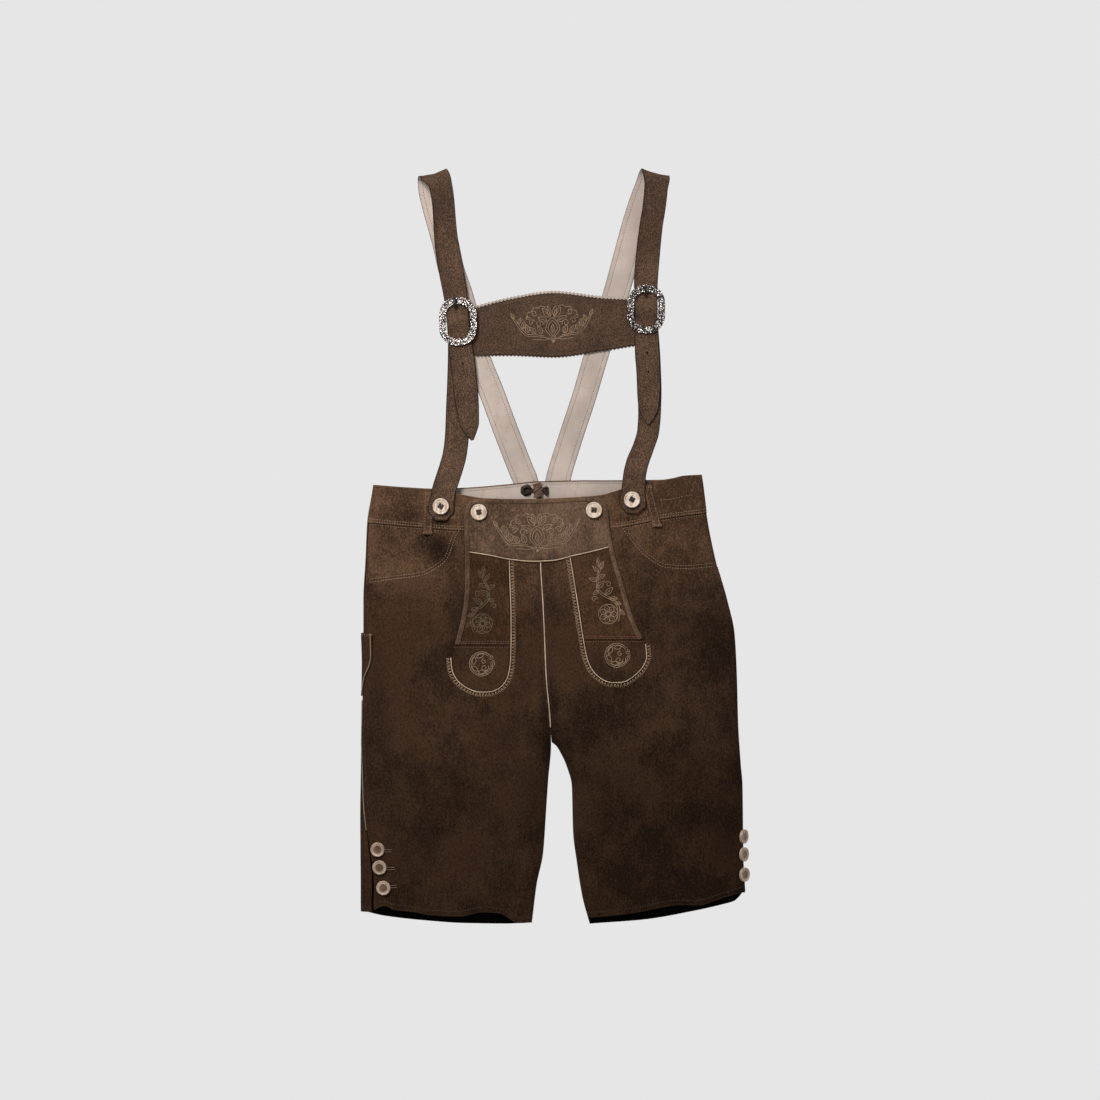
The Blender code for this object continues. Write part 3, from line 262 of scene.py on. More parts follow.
class Half:
    """One half of the trousers: side is -1 for the wearer's right and 1 for the left."""

    def __init__(self, name, side, sections, lines, seam_rise=None):
        self.name, self.side = name, side
        self.inner_edge = Smooth((s.y, s.inner + side * HALF_GAP) for s in sections)
        self.outer_edge = Smooth((s.y, s.outer) for s in sections)
        self.crest = Smooth((s.y, s.height) for s in sections)
        self.lines = {line: Smooth(points) for line, points in lines.items()}
        self.seam_rise = Smooth(seam_rise) if seam_rise else None

    def closing(self, y):
        """0 where the half is open toward the middle, and 1 where it is a tube."""
        return part(y, CLOSING, CROTCH)

    def across(self, share, y):
        return between(self.inner_edge(y), self.outer_edge(y), share)

    def share(self, x, y):
        return (x - self.inner_edge(y)) / (self.outer_edge(y) - self.inner_edge(y))

    def rise(self, x, y):
        """How high the crest stands over the fold, less the creases."""
        return self.crest(y) - FOLD - crease_depth(x, y)

    def fullness(self, x, y):
        """0 at the crest and 1 at the folds."""
        closing = self.closing(y)
        return abs(self.share(x, y) * (1 + closing) - closing) ** ROUNDNESS

    def top(self, x, y):
        """The height of the front at a place."""
        return FOLD + self.rise(x, y) * math.sqrt(max(1 - self.fullness(x, y), 0))

    def at(self, x, y, z, lift=0.0):
        """A point of the front, moved out by lift, and its outward direction."""

        def form(px, py):
            return ((z - FOLD) / self.rise(px, py)) ** 2 + self.fullness(px, py)

        step = 0.5
        slope_x = (form(x + step, y) - form(x - step, y)) / (2 * step)
        slope_y = (form(x, y + step) - form(x, y - step)) / (2 * step)
        out = Vector((slope_x, slope_y, 2 * (z - FOLD) / self.rise(x, y) ** 2)).normalized()
        return Vector((x, y, z)) + out * lift, out

    def front(self, share, y, lift):
        """The front's point at a share of its width, moved out by lift, and its direction."""
        x = self.across(share, y)
        return self.at(x, y, max(self.top(x, y), FOLD + HALF_GAP), lift)

    def over(self, rise, y, lift=0.0):
        """A point that lies rise above the outer fold, on the front or, below 0, under the fold."""
        if rise < 0:
            return self.outer(math.asin(rise / FOLD), y, lift)
        closing = self.closing(y)
        width = (1 - (rise / self.rise(self.outer_edge(y), y)) ** 2) ** (1 / ROUNDNESS)
        return self.at(self.across((width + closing) / (1 + closing), y), y, FOLD + rise, lift)

    def outer(self, angle, y, lift=0.0):
        """A point of the outer fold, from -90 degrees on the floor to 0 at its outermost line."""
        out = Vector((self.side * math.cos(angle), 0, math.sin(angle)))
        middle = Vector((self.outer_edge(y) - self.side * FOLD, y, FOLD))
        return middle + out * (FOLD + lift), out

    def inner(self, angle, y):
        """A point of the inner fold, from 0 at its innermost line to 90 degrees on the floor."""
        closing = self.closing(y)
        x = self.inner_edge(y) + self.side * FOLD * (1 - math.cos(angle))
        z = (FOLD - HALF_GAP) * closing * (1 - math.sin(angle)) + back_lift(x, y)
        out = Vector((-self.side * math.cos(angle) * closing, 0, -max(math.sin(angle), 1 - closing)))
        return Vector((x, y, z)), out.normalized()

    def floor(self, share, y):
        """A point of the underside, at a share of the way between its two folds."""
        x = between(self.inner_edge(y) + self.side * FOLD, self.outer_edge(y) - self.side * FOLD, share)
        return Vector((x, y, back_lift(x, y))), -UP


RIGHT = Half("right", -1, RIGHT_SECTIONS, RIGHT_LINES, RIGHT_SEAM_RISE)
LEFT = Half("left", 1, LEFT_SECTIONS, LEFT_LINES)
HALVES = (RIGHT, LEFT)


# Leather, thread and cords

RIM_BULGE = 0.22  # how far a cut edge stands out, beside the leather's thickness
# The backs of the legs are painted dark as shade where their inside shows, below this Y.
INSIDE_BELOW = -150  # the dark inside of the legs is seen below this Y
FINISHES = {}  # the materials, by the name of their finish
HIDES = {}  # the pieces of leather laid so far, for the stitches along their edges


def unit(vectors):
    return vectors / np.maximum(np.linalg.norm(vectors, axis=1, keepdims=True), 1e-9)


def as_line(found):
    """Arrays of the points and the directions in (point, direction) pairs."""
    return tuple(np.array([pair[k] for pair in found], dtype=float) for k in (0, 1))


def heading(path, k):
    """The way a path runs at its point k."""
    return path[min(k + 1, len(path) - 1)] - path[max(k - 1, 0)]


def leftward(path, k):
    """The direction to the left of a path in the plane at its point k."""
    run = heading(path, k)
    return Vector((-run.y, run.x)).normalized()


def add_piece(name, points, faces, finish):
    """Adds a smooth mesh, its points in millimetres, as a piece of the garment."""
    data = bpy.data.meshes.new(name)
    data.from_pydata((np.array(points) * MM).tolist(), [], faces)
    data.shade_smooth()
    data.materials.append(FINISHES[finish])
    piece = bpy.data.objects.new(name, data)
    bpy.context.scene.collection.objects.link(piece)
    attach(piece, "root")
    return piece


class Hide:
    """A cut piece of leather on a surface: a grid of points and their outward directions, in millimetres."""

    def __init__(self, surface, across, down):
        laid = np.array([[surface(a, d) for a in across] for d in down], dtype=float)
        self.points, self.outs = laid[:, :, 0], laid[:, :, 1]
        steps, drops = (np.linalg.norm(np.diff(self.points, axis=axis), axis=2) for axis in (1, 0))
        u = np.hstack([np.zeros((len(down), 1)), np.cumsum(steps, axis=1)])
        v = np.vstack([np.zeros((1, len(across))), np.cumsum(drops, axis=0)])
        self.away = {"first": u, "last": u[:, -1:] - u, "top": v, "bottom": v[-1:] - v}
        self.run = {"first": v[:, 0], "last": v[:, -1], "top": u[0], "bottom": u[-1]}

    def press(self, edges, *insets, depth=0.3, width=0.9):
        """Presses the leather down in lines along its edges, as stitches do."""
        for edge in edges.split():
            for inset in insets:
                dent = depth * np.exp(-(((self.away[edge] - inset) / width) ** 2))
                self.points -= dent[..., None] * self.outs
        return self

    def line(self, edge, inset, keep=(0.0, 1.0)):
        """The points and directions of a line at a distance from an edge, over a share of the edge's length."""
        grid = np.concatenate([self.points, self.outs, self.away[edge][..., None]], axis=2)
        lines = grid if edge in ("first", "last") else grid.transpose(1, 0, 2)
        first, last = (share * self.run[edge][-1] for share in keep)
        found = []
        for place, line in zip(self.run[edge], lines):
            if first <= place <= last:
                line = line[np.argsort(line[:, 6])]
                found.append([np.interp(inset, line[:, 6], line[:, axis]) for axis in range(6)])
        found = np.array(found)
        return found[:, :3], found[:, 3:]

    def cut(self):
        """The size and the area of the flat piece it is cut from, in metres."""
        width = max(self.away["first"][:, -1]) * MM
        length = max(self.away["top"][-1]) * MM
        a = self.points[1:, 1:] - self.points[:-1, :-1]
        b = self.points[1:, :-1] - self.points[:-1, 1:]
        area = np.linalg.norm(np.cross(a, b), axis=2).sum() / 2 * MM * MM
        return (width, length), min(area, width * length)

    def build(self, name, thickness, finish, slot, inside=None):
        """The solid piece: its face, its back and a rim that is rounded a little. inside is the back's finish."""
        high, wide = self.points.shape[:2]
        count = high * wide
        ids = np.arange(count).reshape(high, wide)
        face = self.points.reshape(-1, 3)
        back = face - self.outs.reshape(-1, 3) * thickness
        loop = np.concatenate([ids[0], ids[1:, -1], ids[-1, -2::-1], ids[-2:0:-1, 0]])
        inner = np.concatenate([ids[1, :], ids[1:, -2], ids[-2, -2::-1], ids[-2:0:-1, 1]])
        rim = (face[loop] + back[loop]) / 2 + unit(face[loop] - face[inner]) * RIM_BULGE * thickness
        rims = 2 * count + np.arange(len(loop))
        after, rims_after = np.roll(loop, -1), np.roll(rims, -1)
        laid = np.stack([ids[:-1, :-1], ids[:-1, 1:], ids[1:, 1:], ids[1:, :-1]], axis=-1).reshape(-1, 4)
        upper = np.stack([loop, rims, rims_after, after], axis=-1)
        lower = np.stack([rims, loop + count, after + count, rims_after], axis=-1)
        quads = np.concatenate([laid, laid[:, ::-1] + count, upper, lower])
        normal = np.cross(face[ids[1, 0]] - face[0], face[1] - face[0])
        if normal.dot(self.outs[0, 0]) > 0:
            quads = quads[:, ::-1]
        piece = add_piece(name, np.concatenate([face, back, rim]), quads.tolist(), finish)
        flat = np.stack([self.away["first"].ravel(), self.away["top"].ravel()], axis=-1) * MM
        flat = np.concatenate([flat, flat, flat[loop]])[quads.ravel()]
        piece.data.uv_layers.new(name="cut").data.foreach_set("uv", flat.ravel())
        edge = np.minimum.reduce([away.ravel() for away in self.away.values()]) * MM
        edge = np.concatenate([edge, edge, np.zeros(len(loop))])
        piece.data.attributes.new("rim", "FLOAT", "POINT").data.foreach_set("value", edge.astype(np.float32))
        # Below INSIDE_BELOW the back takes the inside finish: for the legs, painted shade.
        if inside:
            piece.data.materials.append(FINISHES[inside])
            kinds = np.zeros(len(quads), dtype=np.int32)
            kinds[len(laid) : 2 * len(laid)] = face[laid[:, 0], 1] < INSIDE_BELOW
            piece.data.polygons.foreach_set("material_index", kinds)
        return piece


def cord_along(name, path, radius, finish="piping"):
    """Piping in place of the node of its name."""
    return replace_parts(strand(name, path, radius, finish), name)


def lay(name, hide, thickness, finish, slot, inside=None):
    """Builds a piece of leather in place of the node of its name."""
    piece = hide.build(name, thickness, finish, slot, inside)
    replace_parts(piece, name)
    flat, area = hide.cut()
    HIDES[name] = hide
    return piece


def along(points, outs, step, start=0.0):
    """Evenly spaced places on a line: its points, its directions and its outward directions."""
    places = np.concatenate([[0], np.cumsum(np.linalg.norm(np.diff(points, axis=0), axis=1))])
    wanted = np.arange(start, places[-1], step)

    def at(where, grid):
        return np.stack([np.interp(where, places, grid[:, axis]) for axis in range(3)], axis=-1)

    run, ups = unit(at(wanted + 0.5, points) - at(wanted - 0.5, points)), at(wanted, outs)
    return at(wanted, points), run, unit(ups - run * (ups * run).sum(axis=1, keepdims=True))


class Thread:
    """Stitches gathered into one piece: each is a short plump strand whose two ends go into the leather."""

    RING = ((1.0, 0.0), (0.0, 1.0), (-1.0, 0.0), (0.0, -0.6))
    FACES = [(0, 2 + k, 2 + (k + 1) % 4) for k in range(4)]
    FACES += [(2 + k, 6 + k, 6 + (k + 1) % 4, 2 + (k + 1) % 4) for k in range(4)]
    FACES += [(1, 6 + (k + 1) % 4, 6 + k) for k in range(4)]
    CORNERS = 10  # points of one stitch
    SEWN, CROSSED, STEM = (0.75, 0.35, 0.05), (0.5, 0.4, 0.1), (0.66, 0.4, 0.15)  # width, height and lift
    GAP = 0.8  # from one stitch of a seam to the next
    STEM_STEP, STEM_LENGTH, STEM_SLANT = 1.25, 2.1, 0.3

    def __init__(self):
        self.points = []

    def stitch(self, starts, ends, ups, size):
        """Adds a stitch from each start to each end."""
        width, height, lift = size
        run, starts, ends = ends - starts, starts + ups * lift, ends + ups * lift
        sides = unit(np.cross(run, ups))
        block = [starts - ups * 0.15, ends - ups * 0.15]
        for share in (0.25, 0.75):
            for across, rise in self.RING:
                block.append(starts + run * share + sides * across * width / 2 + ups * rise * height)
        self.points.append(np.stack(block, axis=1))

    def sew(self, line, length):
        """A row of stitches along a line."""
        spots, run, ups = along(*line, length + self.GAP, self.GAP)
        self.stitch(spots - run * length / 2, spots + run * length / 2, ups, self.SEWN)

    def zigzag(self, line, reach, pitch):
        """Stitches that go from side to side of a line."""
        spots, run, ups = along(*line, pitch)
        swing = np.where(np.arange(len(spots)) % 2 == 0, reach / 2, -reach / 2)[:, None]
        turns = spots + np.cross(run, ups) * swing
        self.stitch(turns[:-1], turns[1:], ups[:-1], self.CROSSED)

    def comb(self, line, reach, pitch, spread):
        """Pairs of stitches that stand out to the right of a line, or with reach below 0 to its left."""
        spots, run, ups = along(*line, pitch)
        for lean in (-spread, spread):
            self.stitch(spots, spots + np.cross(run, ups) * reach + run * lean, ups, self.CROSSED)

    def rope(self, line):
        """Stem stitch: short strands that overlap at a slant along a drawn line."""
        spots, run, ups = along(*line, self.STEM_STEP, self.STEM_STEP / 2)
        reach = run * self.STEM_LENGTH / 2 + np.cross(run, ups) * self.STEM_SLANT
        self.stitch(spots - reach, spots + reach, ups, self.STEM)

    def build(self, name, finish):
        points = np.concatenate(self.points).reshape(-1, 3)
        firsts = range(0, len(points), self.CORNERS)
        faces = [tuple(first + corner for corner in face) for first in firsts for face in self.FACES]
        return add_piece(name, points, faces, finish)


def strand(name, points, radius, finish, sides=10, flat=1.0):
    """A cord through points in millimetres, its two ends closed. flat squeezes it."""
    points = [Vector(point) for point in points]
    last = len(points) - 1
    up, corners = UP, []
    for k, point in enumerate(points):
        run = heading(points, k).normalized()
        up = (up - run * up.dot(run)).normalized()
        aside = run.cross(up)
        size = radius(k / last) if callable(radius) else radius
        for side in range(sides):
            turn = math.tau * side / sides
            corners.append(point + (aside * math.cos(turn) + up * math.sin(turn) * flat) * size)
    faces = []
    for first in range(0, last * sides, sides):
        for side in range(sides):
            here, after = first + side, first + (side + 1) % sides
            faces.append((here, here + sides, after + sides, after))
    faces += [tuple(range(sides)), tuple(range(last * sides, len(corners)))[::-1]]
    return add_piece(name, corners, faces, finish)


# Finishes


class Wire:
    """A socket's value in a material. Arithmetic on it adds Math nodes."""

    def __init__(self, paint, socket):
        self.paint, self.socket = paint, socket

    def calc(self, operation, *values):
        return self.paint.node("Math", {"operation": operation}, *values)

    def __add__(self, other):
        return self.calc("ADD", self, other)

    def __sub__(self, other):
        return self.calc("SUBTRACT", self, other)

    def __rsub__(self, other):
        return self.calc("SUBTRACT", other, self)

    def __mul__(self, other):
        return self.calc("MULTIPLY", self, other)

    __radd__, __rmul__ = __add__, __mul__

    def between(self, low, high):
        """0 at low, 1 at high and smooth between them."""
        ends = {"From Min": low, "From Max": high}
        return self.paint.node("MapRange", {"interpolation_type": "SMOOTHSTEP"}, Value=self, **ends)


class Paint:
    """A material for one finish, with the short ways its nodes are added."""

    def __init__(self, name):
        FINISHES[name] = material = bpy.data.materials.new(name.replace("_", " ").title())
        material.use_nodes = True
        self.tree = material.node_tree
        self.shader = self.tree.nodes["Principled BSDF"]
        self.place = self.node("TexCoord", {}, output="Object")

    def node(self, kind, settings, *values, output=0, **named):
        """Adds a node with its settings, then the values or wires of its inputs, and gives one output."""
        node = self.tree.nodes.new(f"ShaderNode{kind}")
        for key, value in settings.items():
            setattr(node, key, value)
        for key, value in [*enumerate(values), *named.items()]:
            self.feed(node.inputs[key], value)
        return Wire(self, node.outputs[output])

    def feed(self, socket, value):
        if isinstance(value, Wire):
            self.tree.links.new(value.socket, socket)
        else:
            socket.default_value = value

    def set(self, **values):
        for key, value in values.items():
            self.feed(self.shader.inputs[key.replace("_", " ")], value)

    def cloud(self, scale, detail, stretch=(1, 1, 1), turn=0.0, roughness=0.5, shift=(0, 0, 0)):
        """Soft noise over the garment, from 0 to 1; scale counts its patches in a metre."""
        spot = self.node("Mapping", {}, self.place, shift, (0, 0, turn), tuple(scale * side for side in stretch))
        return self.node("TexNoise", {}, Vector=spot, Scale=1.0, Detail=detail, Roughness=roughness)

    def grains(self, scale, stretch=(1, 1, 1)):
        """Distance to the nearest of many scattered spots."""
        spot = self.node("Mapping", {}, self.place, (0, 0, 0), (0, 0, 0), stretch)
        return self.node("TexVoronoi", {"feature": "F1"}, Vector=spot, Scale=scale)

    def mix(self, amount, low, high, blend="MIX"):
        """A colour between two colours."""
        low, high = ((*colour, 1.0) if isinstance(colour, tuple) else colour for colour in (low, high))
        node = self.tree.nodes.new("ShaderNodeMix")
        node.data_type, node.blend_type = "RGBA", blend
        for socket, value in zip((node.inputs[0], node.inputs[6], node.inputs[7]), (amount, low, high)):
            self.feed(socket, value)
        return Wire(self, node.outputs[2])

    def shades(self, amount, colour, low, high):
        """A colour between two tones of it."""
        return self.mix(amount, tone(colour, low), tone(colour, high))

    def bump(self, height, depth, strength):
        """Relief of a height from 0 to 1, depth in metres."""
        return self.node("Bump", {}, Strength=strength, Distance=depth, Height=height)

    def axes(self):
        """The place along X and Y, in metres."""
        return [self.node("SeparateXYZ", {}, self.place, output=axis) for axis in (0, 1)]

    def rim(self):
        """The distance to the nearest cut edge, in metres."""
        return self.node("Attribute", {"attribute_name": "rim"}, output="Fac")


def tone(colour, *factors):
    """A colour made brighter or darker by one factor, or by one for each of red, green and blue."""
    return tuple(min(value * factor, 1.0) for value, factor in zip(colour, factors * 3))


# Painted shade on the suede: shadows under and beside the strap ends and the belt loops, in the pocket mouth and at
# the crotch, and soft dark patches over the legs. For each: the middle, the reach along x and y, and how dark.
PAINTED_SHADOWS = [
    (-150, -4, 24, 32, 0.95), (-193, 40, 30, 18, 0.6), (-147, 30.5, 26, 8, 1.0), (-120, 22, 14, 26, 0.4),
    (-169, 12, 11, 5, 0.9), (-170, 2, 20, 14, 0.4), (99, 34, 22, 8, 0.7), (-205, -70, 60, 12, 0.2),
    (170, -60, 50, 16, 0.25), (-75, -250, 40, 60, 0.2), (-8, -215, 16, 80, 0.75), (-72, -95, 26, 60, 0.3),
    (-128, -70, 20, 80, 0.35), (108, -40, 26, 70, 0.3), (205, -120, 34, 60, 0.4), (-232, -215, 26, 90, 0.35),
    (40, -250, 60, 70, 0.3), (-28, -300, 26, 120, 0.2), (215, -370, 30, 90, 0.15),
]


def paint_suede(name, colour, with_painted_shade=True, edge=1.6, graded=False):
    """Brushed suede, cut edges worn pale or, with edge below 1, painted dark as shade; it may carry painted shadows,
    and graded darkens the legs.
    """
    paint = Paint(name)
    broad = paint.cloud(8, 4, shift=(3.1, 0.7, 0))
    patches = paint.cloud(30, 5, stretch=(1, 0.7, 1), roughness=0.62)
    brushed = paint.cloud(420, 3, stretch=(1, 0.13, 1), turn=0.06)
    nap = paint.cloud(560, 3, stretch=(1, 0.6, 1), roughness=0.75)
    fine = paint.cloud(1500, 1)
    mottle = broad * 0.3 + patches * 0.36 + brushed * 0.12 + nap * 0.22
    colours = paint.shades(mottle.between(0.41, 0.59), colour, 0.5, 1.5)
    rubbed = paint.mix(broad.between(0.52, 0.7) * 0.7, colours, tone(colour, 1.188, 1.078, 1.122))
    # Painted shadows: each spot of the table darkens the suede where shade would fall, so rubbed holds painted shade
    # from here on as well as its reddish patches.
    if with_painted_shade:
        for at_x, at_y, wide, high, depth in PAINTED_SHADOWS:
            middle, reach = (at_x * MM, at_y * MM, 0), (wide * MM, high * MM, 1)
            spot = paint.node("Mapping", {"vector_type": "TEXTURE"}, paint.place, middle, (0, 0, 0), reach)
            away = paint.node("VectorMath", {"operation": "LENGTH"}, spot, output="Value")
            rubbed = paint.mix((away + patches * 0.5).between(1.35, 0.35) * depth, rubbed, tone(colour, 0.1))
    # The cut edges: with edge above 1 they are worn pale; with edge below 1, on the flap's pieces, they are painted
    # dark as the shade along the edges.
    worn = (1 - paint.rim().between(0.0002, 0.0014)) * (0.25 + patches * 0.5 if edge > 1 else 1.0)
    pits = paint.mix((1 - (nap * 0.7 + fine * 0.3).between(0.38, 0.52)) * 0.62, rubbed, tone(colour, 0.3))
    speckled = paint.mix((fine * 0.35 + nap * 0.65).between(0.52, 0.64) * 0.5, pits, tone(colour, 2.2))
    napped = paint.mix(worn * 0.7, speckled, tone(colour, edge))
    # graded: the legs darken towards the hems, and the extra darkening over the left leg, the side away from the key
    # light, is painted shade.
    if graded:
        x, y = paint.axes()
        legs = y.between(-0.02, -0.1) * 0.57 + y.between(-0.23, -0.31) * 0.17
        sides = x.between(0.0, 0.06) * y.between(-0.17, -0.26) * 0.08
        hips = x.between(0.1, 0.24) * y.between(-0.04, -0.1) * 0.08
        grade = paint.mix(legs + (sides + hips), (1.0, 1.0, 1.0), (0.3, 0.26, 0.19))
        napped = paint.mix(1.0, napped, grade, "MULTIPLY")
    paint.set(
        Base_Color=napped,
        Roughness=0.96,
        Sheen_Weight=0.05,
        Sheen_Roughness=0.5,
        Sheen_Tint=(*tone(colour, 3.0), 1),
        Normal=paint.bump(nap * 0.45 + fine * 0.25 + brushed * 0.3 + patches * 0.8, 0.0007, 0.55),
        Specular_IOR_Level=0.08,
    )


def paint_leather(name, colour):
    """Grained leather of the straps: small pebbles with dark creases, and painted shade along the cut edges."""
    paint = Paint(name)
    patches = paint.cloud(30, 4, roughness=0.6)
    streaks = paint.cloud(330, 3, stretch=(1, 0.35, 1), roughness=0.65)
    pebbles = paint.grains(620, (1, 0.8, 1))
    fine = paint.cloud(900, 2, roughness=0.7)
    worn = paint.shades((patches * 0.35 + streaks * 0.3 + fine * 0.35).between(0.38, 0.62), colour, 0.58, 1.4)
    creased = paint.mix(pebbles.between(0.34, 0.6) * 0.7, worn, tone(colour, 0.2))
    speckled = paint.mix(fine.between(0.53, 0.66) * 0.6, creased, tone(colour, 2.4))
    # Painted shade along the cut edges.
    edge = 1 - paint.rim().between(0.0004, 0.0016)
    paint.set(
        Base_Color=paint.mix(edge * 0.85, speckled, tone(colour, 0.14)),
        Roughness=0.85,
        Normal=paint.bump(streaks * 0.5 - pebbles * 0.8 + fine * 0.2, 0.0006, 0.6),
        Specular_IOR_Level=0.2,
    )


def paint_cream(name, colour):
    """Cream lining leather: smooth, faintly creased and darker along its creases."""
    paint = Paint(name)
    creases = paint.cloud(85, 4, stretch=(1, 0.5, 1), roughness=0.62)
    pores = paint.grains(1300)
    colours = paint.shades(paint.cloud(14, 4).between(0.35, 0.68), colour, 0.84, 1.1)
    # Darker where the crease noise is high.
    darker_in_creases = paint.mix(creases.between(0.5, 0.72) * 0.5, colours, tone(colour, 0.78, 0.7254, 0.6864))
    edge = 1 - paint.rim().between(0.0, 0.0018)
    paint.set(
        Base_Color=paint.mix(edge * 0.5, darker_in_creases, tone(colour, 0.62)),
        Roughness=creases * 0.2 + 0.62,
        Normal=paint.bump(creases * 0.7 + pores * 0.25, 0.0005, 0.5),
    )


def paint_thread(name, colour, rough=0.75):
    """Waxed thread or piping: fine twisted strands with small changes of shade."""
    paint = Paint(name)
    strands = paint.cloud(1500, 2)
    paint.set(
        Base_Color=paint.shades((strands * 0.5 + paint.cloud(60, 3) * 0.5).between(0.35, 0.65), colour, 0.68, 1.22),
        Roughness=rough,
        Normal=paint.bump(strands, 0.0003, 0.6),
    )


def paint_horn(name, colour):
    """Polished horn: pale, with streaks and rings of brown."""
    paint = Paint(name)
    streaks = paint.cloud(260, 4, stretch=(1, 0.22, 1), turn=0.6, roughness=0.6)
    veins = (streaks * 0.65 + paint.cloud(90, 3, shift=(0.3, 1.7, 0)) * 0.35).between(0.36, 0.62)
    paint.set(
        Base_Color=paint.mix(veins, tone(colour, 0.62, 0.5332, 0.4464), tone(colour, 1.2)),
        Roughness=streaks * 0.25 + 0.26,
        Normal=paint.bump(streaks, 0.0002, 0.35),
        Coat_Weight=0.25,
    )


def paint_silver(name, colour):
    """Antique silver: bright where it is rubbed and black in its hollows."""
    paint = Paint(name)
    x, _ = paint.axes()
    hollow = (paint.cloud(560, 2, roughness=0.6) + x.between(-0.05, 0.1) * 0.04).between(0.47, 0.51)
    paint.set(
        Base_Color=paint.shades(hollow, colour, 2.05, 0.03),
        Metallic=1.0 - hollow * 0.6,
        Roughness=hollow * 0.4 + 0.32,
        Normal=paint.bump(1 - paint.grains(520), 0.0012, 0.8),
    )


def paint_lace(name, colour):
    """Dark leather lace, a little shiny."""
    paint = Paint(name)
    grain = paint.cloud(700, 3, stretch=(1, 0.4, 1))
    paint.set(
        Base_Color=paint.shades((grain * 0.4 + paint.cloud(110, 3) * 0.6).between(0.35, 0.65), colour, 0.5, 1.7),
        Roughness=grain * 0.25 + 0.5,
        Normal=paint.bump(grain, 0.0004, 0.6),
        Specular_IOR_Level=0.15,
    )


def paint_shade(name, colour):
    """Painted shade for the inside of the legs, the buttonhole slits and the holes."""
    paint = Paint(name)
    dark = paint.shades(paint.cloud(60, 2), colour, 0.6, 1.4)
    paint.set(Base_Color=dark, Roughness=1.0, Specular_IOR_Level=0.0)


def paint_floor(name, colour):
    """The pale background, evenly bright and without shadows."""
    black, light = (0.0, 0.0, 0.0, 1.0), (*colour, 1.0)
    Paint(name).set(Base_Color=black, Emission_Color=light, Emission_Strength=1.0, Specular_IOR_Level=0.0)


# Legs, waistband and pockets

LEG_TOP, LEG_HEM = 18, -478  # the front's rows before they are moved onto its top line and its hem
BACK_TOP, BACK_HEM = 36, -484
TOP_FADE = -189  # the rows are level from here down
HEM_FADE = -383  # and no longer level below here
WIDTH, HEIGHT = 232, 496  # about how wide and how long a leg panel is
BACK_STEP = 6  # between the points of a back panel, which hardly shows


def front_stations(half, shares):
    """Where a front panel's points lie across it: on the front and, on the left, round its fold."""
    return [("front", share) for share in shares] + [("fold", -k / 4) for k in range(1, 5) if half is LEFT]


def back_stations(half, step):
    """Where the back panel's points lie across it, from its inner fold to the side seam."""
    count = round(WIDTH / step)
    stations = [("inner", math.radians(angle)) for angle in (0, 12, 26, 42, 60, 78, 90)]
    stations += [("floor", k / count) for k in range(1, count)]
    angles = (-90, -76, -62, -48) if half is LEFT else (-90, -72, -54, -36, -18)
    stations += [("outer", math.radians(angle)) for angle in angles]
    if half is LEFT:
        return [*stations, ("outer", -LEFT_SEAM - HALF_GAP / FOLD)]
    return stations + [("over", share) for share in (0, 0.2, 0.4, 0.6, 0.8, 0.93, 1)]


def placed(half, station, y, lift=0.0):
    """The point and outward direction of a station at y."""
    kind, value = station
    if kind in ("inner", "floor"):
        return getattr(half, kind)(value, y)
    if kind == "front" and half is RIGHT:
        edge = half.over(half.seam_rise(y) + SIDE_GAP, y)[0].x
        value *= half.share(edge, y)
    elif kind == "over":
        value *= half.seam_rise(y) - SIDE_GAP
    elif kind == "fold":
        kind, value = "outer", value * (LEFT_SEAM - HALF_GAP / FOLD)
    return getattr(half, kind)(value, y, lift)


def station_share(station):
    """Roughly how far across the half a station lies, for reading the edge lines."""
    kind, value = station
    if kind in ("front", "floor"):
        return value
    return 0 if kind == "inner" else 1


def panel(half, stations, steps, height, lift=0.0):
    """A piece laid on a half. height gives the y of a step at a share of the half's width."""
    return Hide(lambda at, step: placed(half, at, height(station_share(at), step), lift), stations, steps)


def leg_hide(half, stations, rows, top, hem):
    """A leg panel between its top line and its hem."""

    def height(share, row):
        down, up = part(row, TOP_FADE, rows[0]), part(row, HEM_FADE, rows[-1])
        return row + (top(share) - rows[0]) * down + (hem(share) - rows[-1]) * up

    return panel(half, stations, rows, height)


def band_hide(half, stations, low, high, steps):
    """A piece of the waistband between its two lines."""
    return panel(half, stations, steps, lambda share, step: between(high(share), low(share) + GAP, step))


def front_top(half):
    """The front leg's top line: the waistband's seam and then the pocket's mouth."""
    return lambda share: min(half.lines["seam"](share), half.lines["pocket"](share))


def make_legs(settings):
    for half in HALVES:
        name, lines, step = half.name, half.lines, settings.weave_step
        rows = [between(LEG_TOP, LEG_HEM, t) for t in fractions(HEIGHT, step)]
        front = leg_hide(half, front_stations(half, fractions(WIDTH, step)), rows, front_top(half), lines["hem"])
        front.press("bottom", 6.5, 2.2, depth=0.28).press("top", 1.8, 6.3, depth=0.3).press("first", 2.4, depth=0.22)
        rows = [between(BACK_TOP, BACK_HEM, t) for t in fractions(HEIGHT, BACK_STEP)]
        back = leg_hide(half, back_stations(half, BACK_STEP), rows, lines["back_seam"], lines["back_hem"])
        back.press("bottom", 6.5, 2.2, depth=0.2)
        # Their backs carry the painted shade of the legs' insides.
        lay(f"back_leg_{name}", back, PANEL, "suede", "suede", inside="shade")
        lay(f"front_leg_{name}", front, PANEL, "suede", "suede", inside="shade")


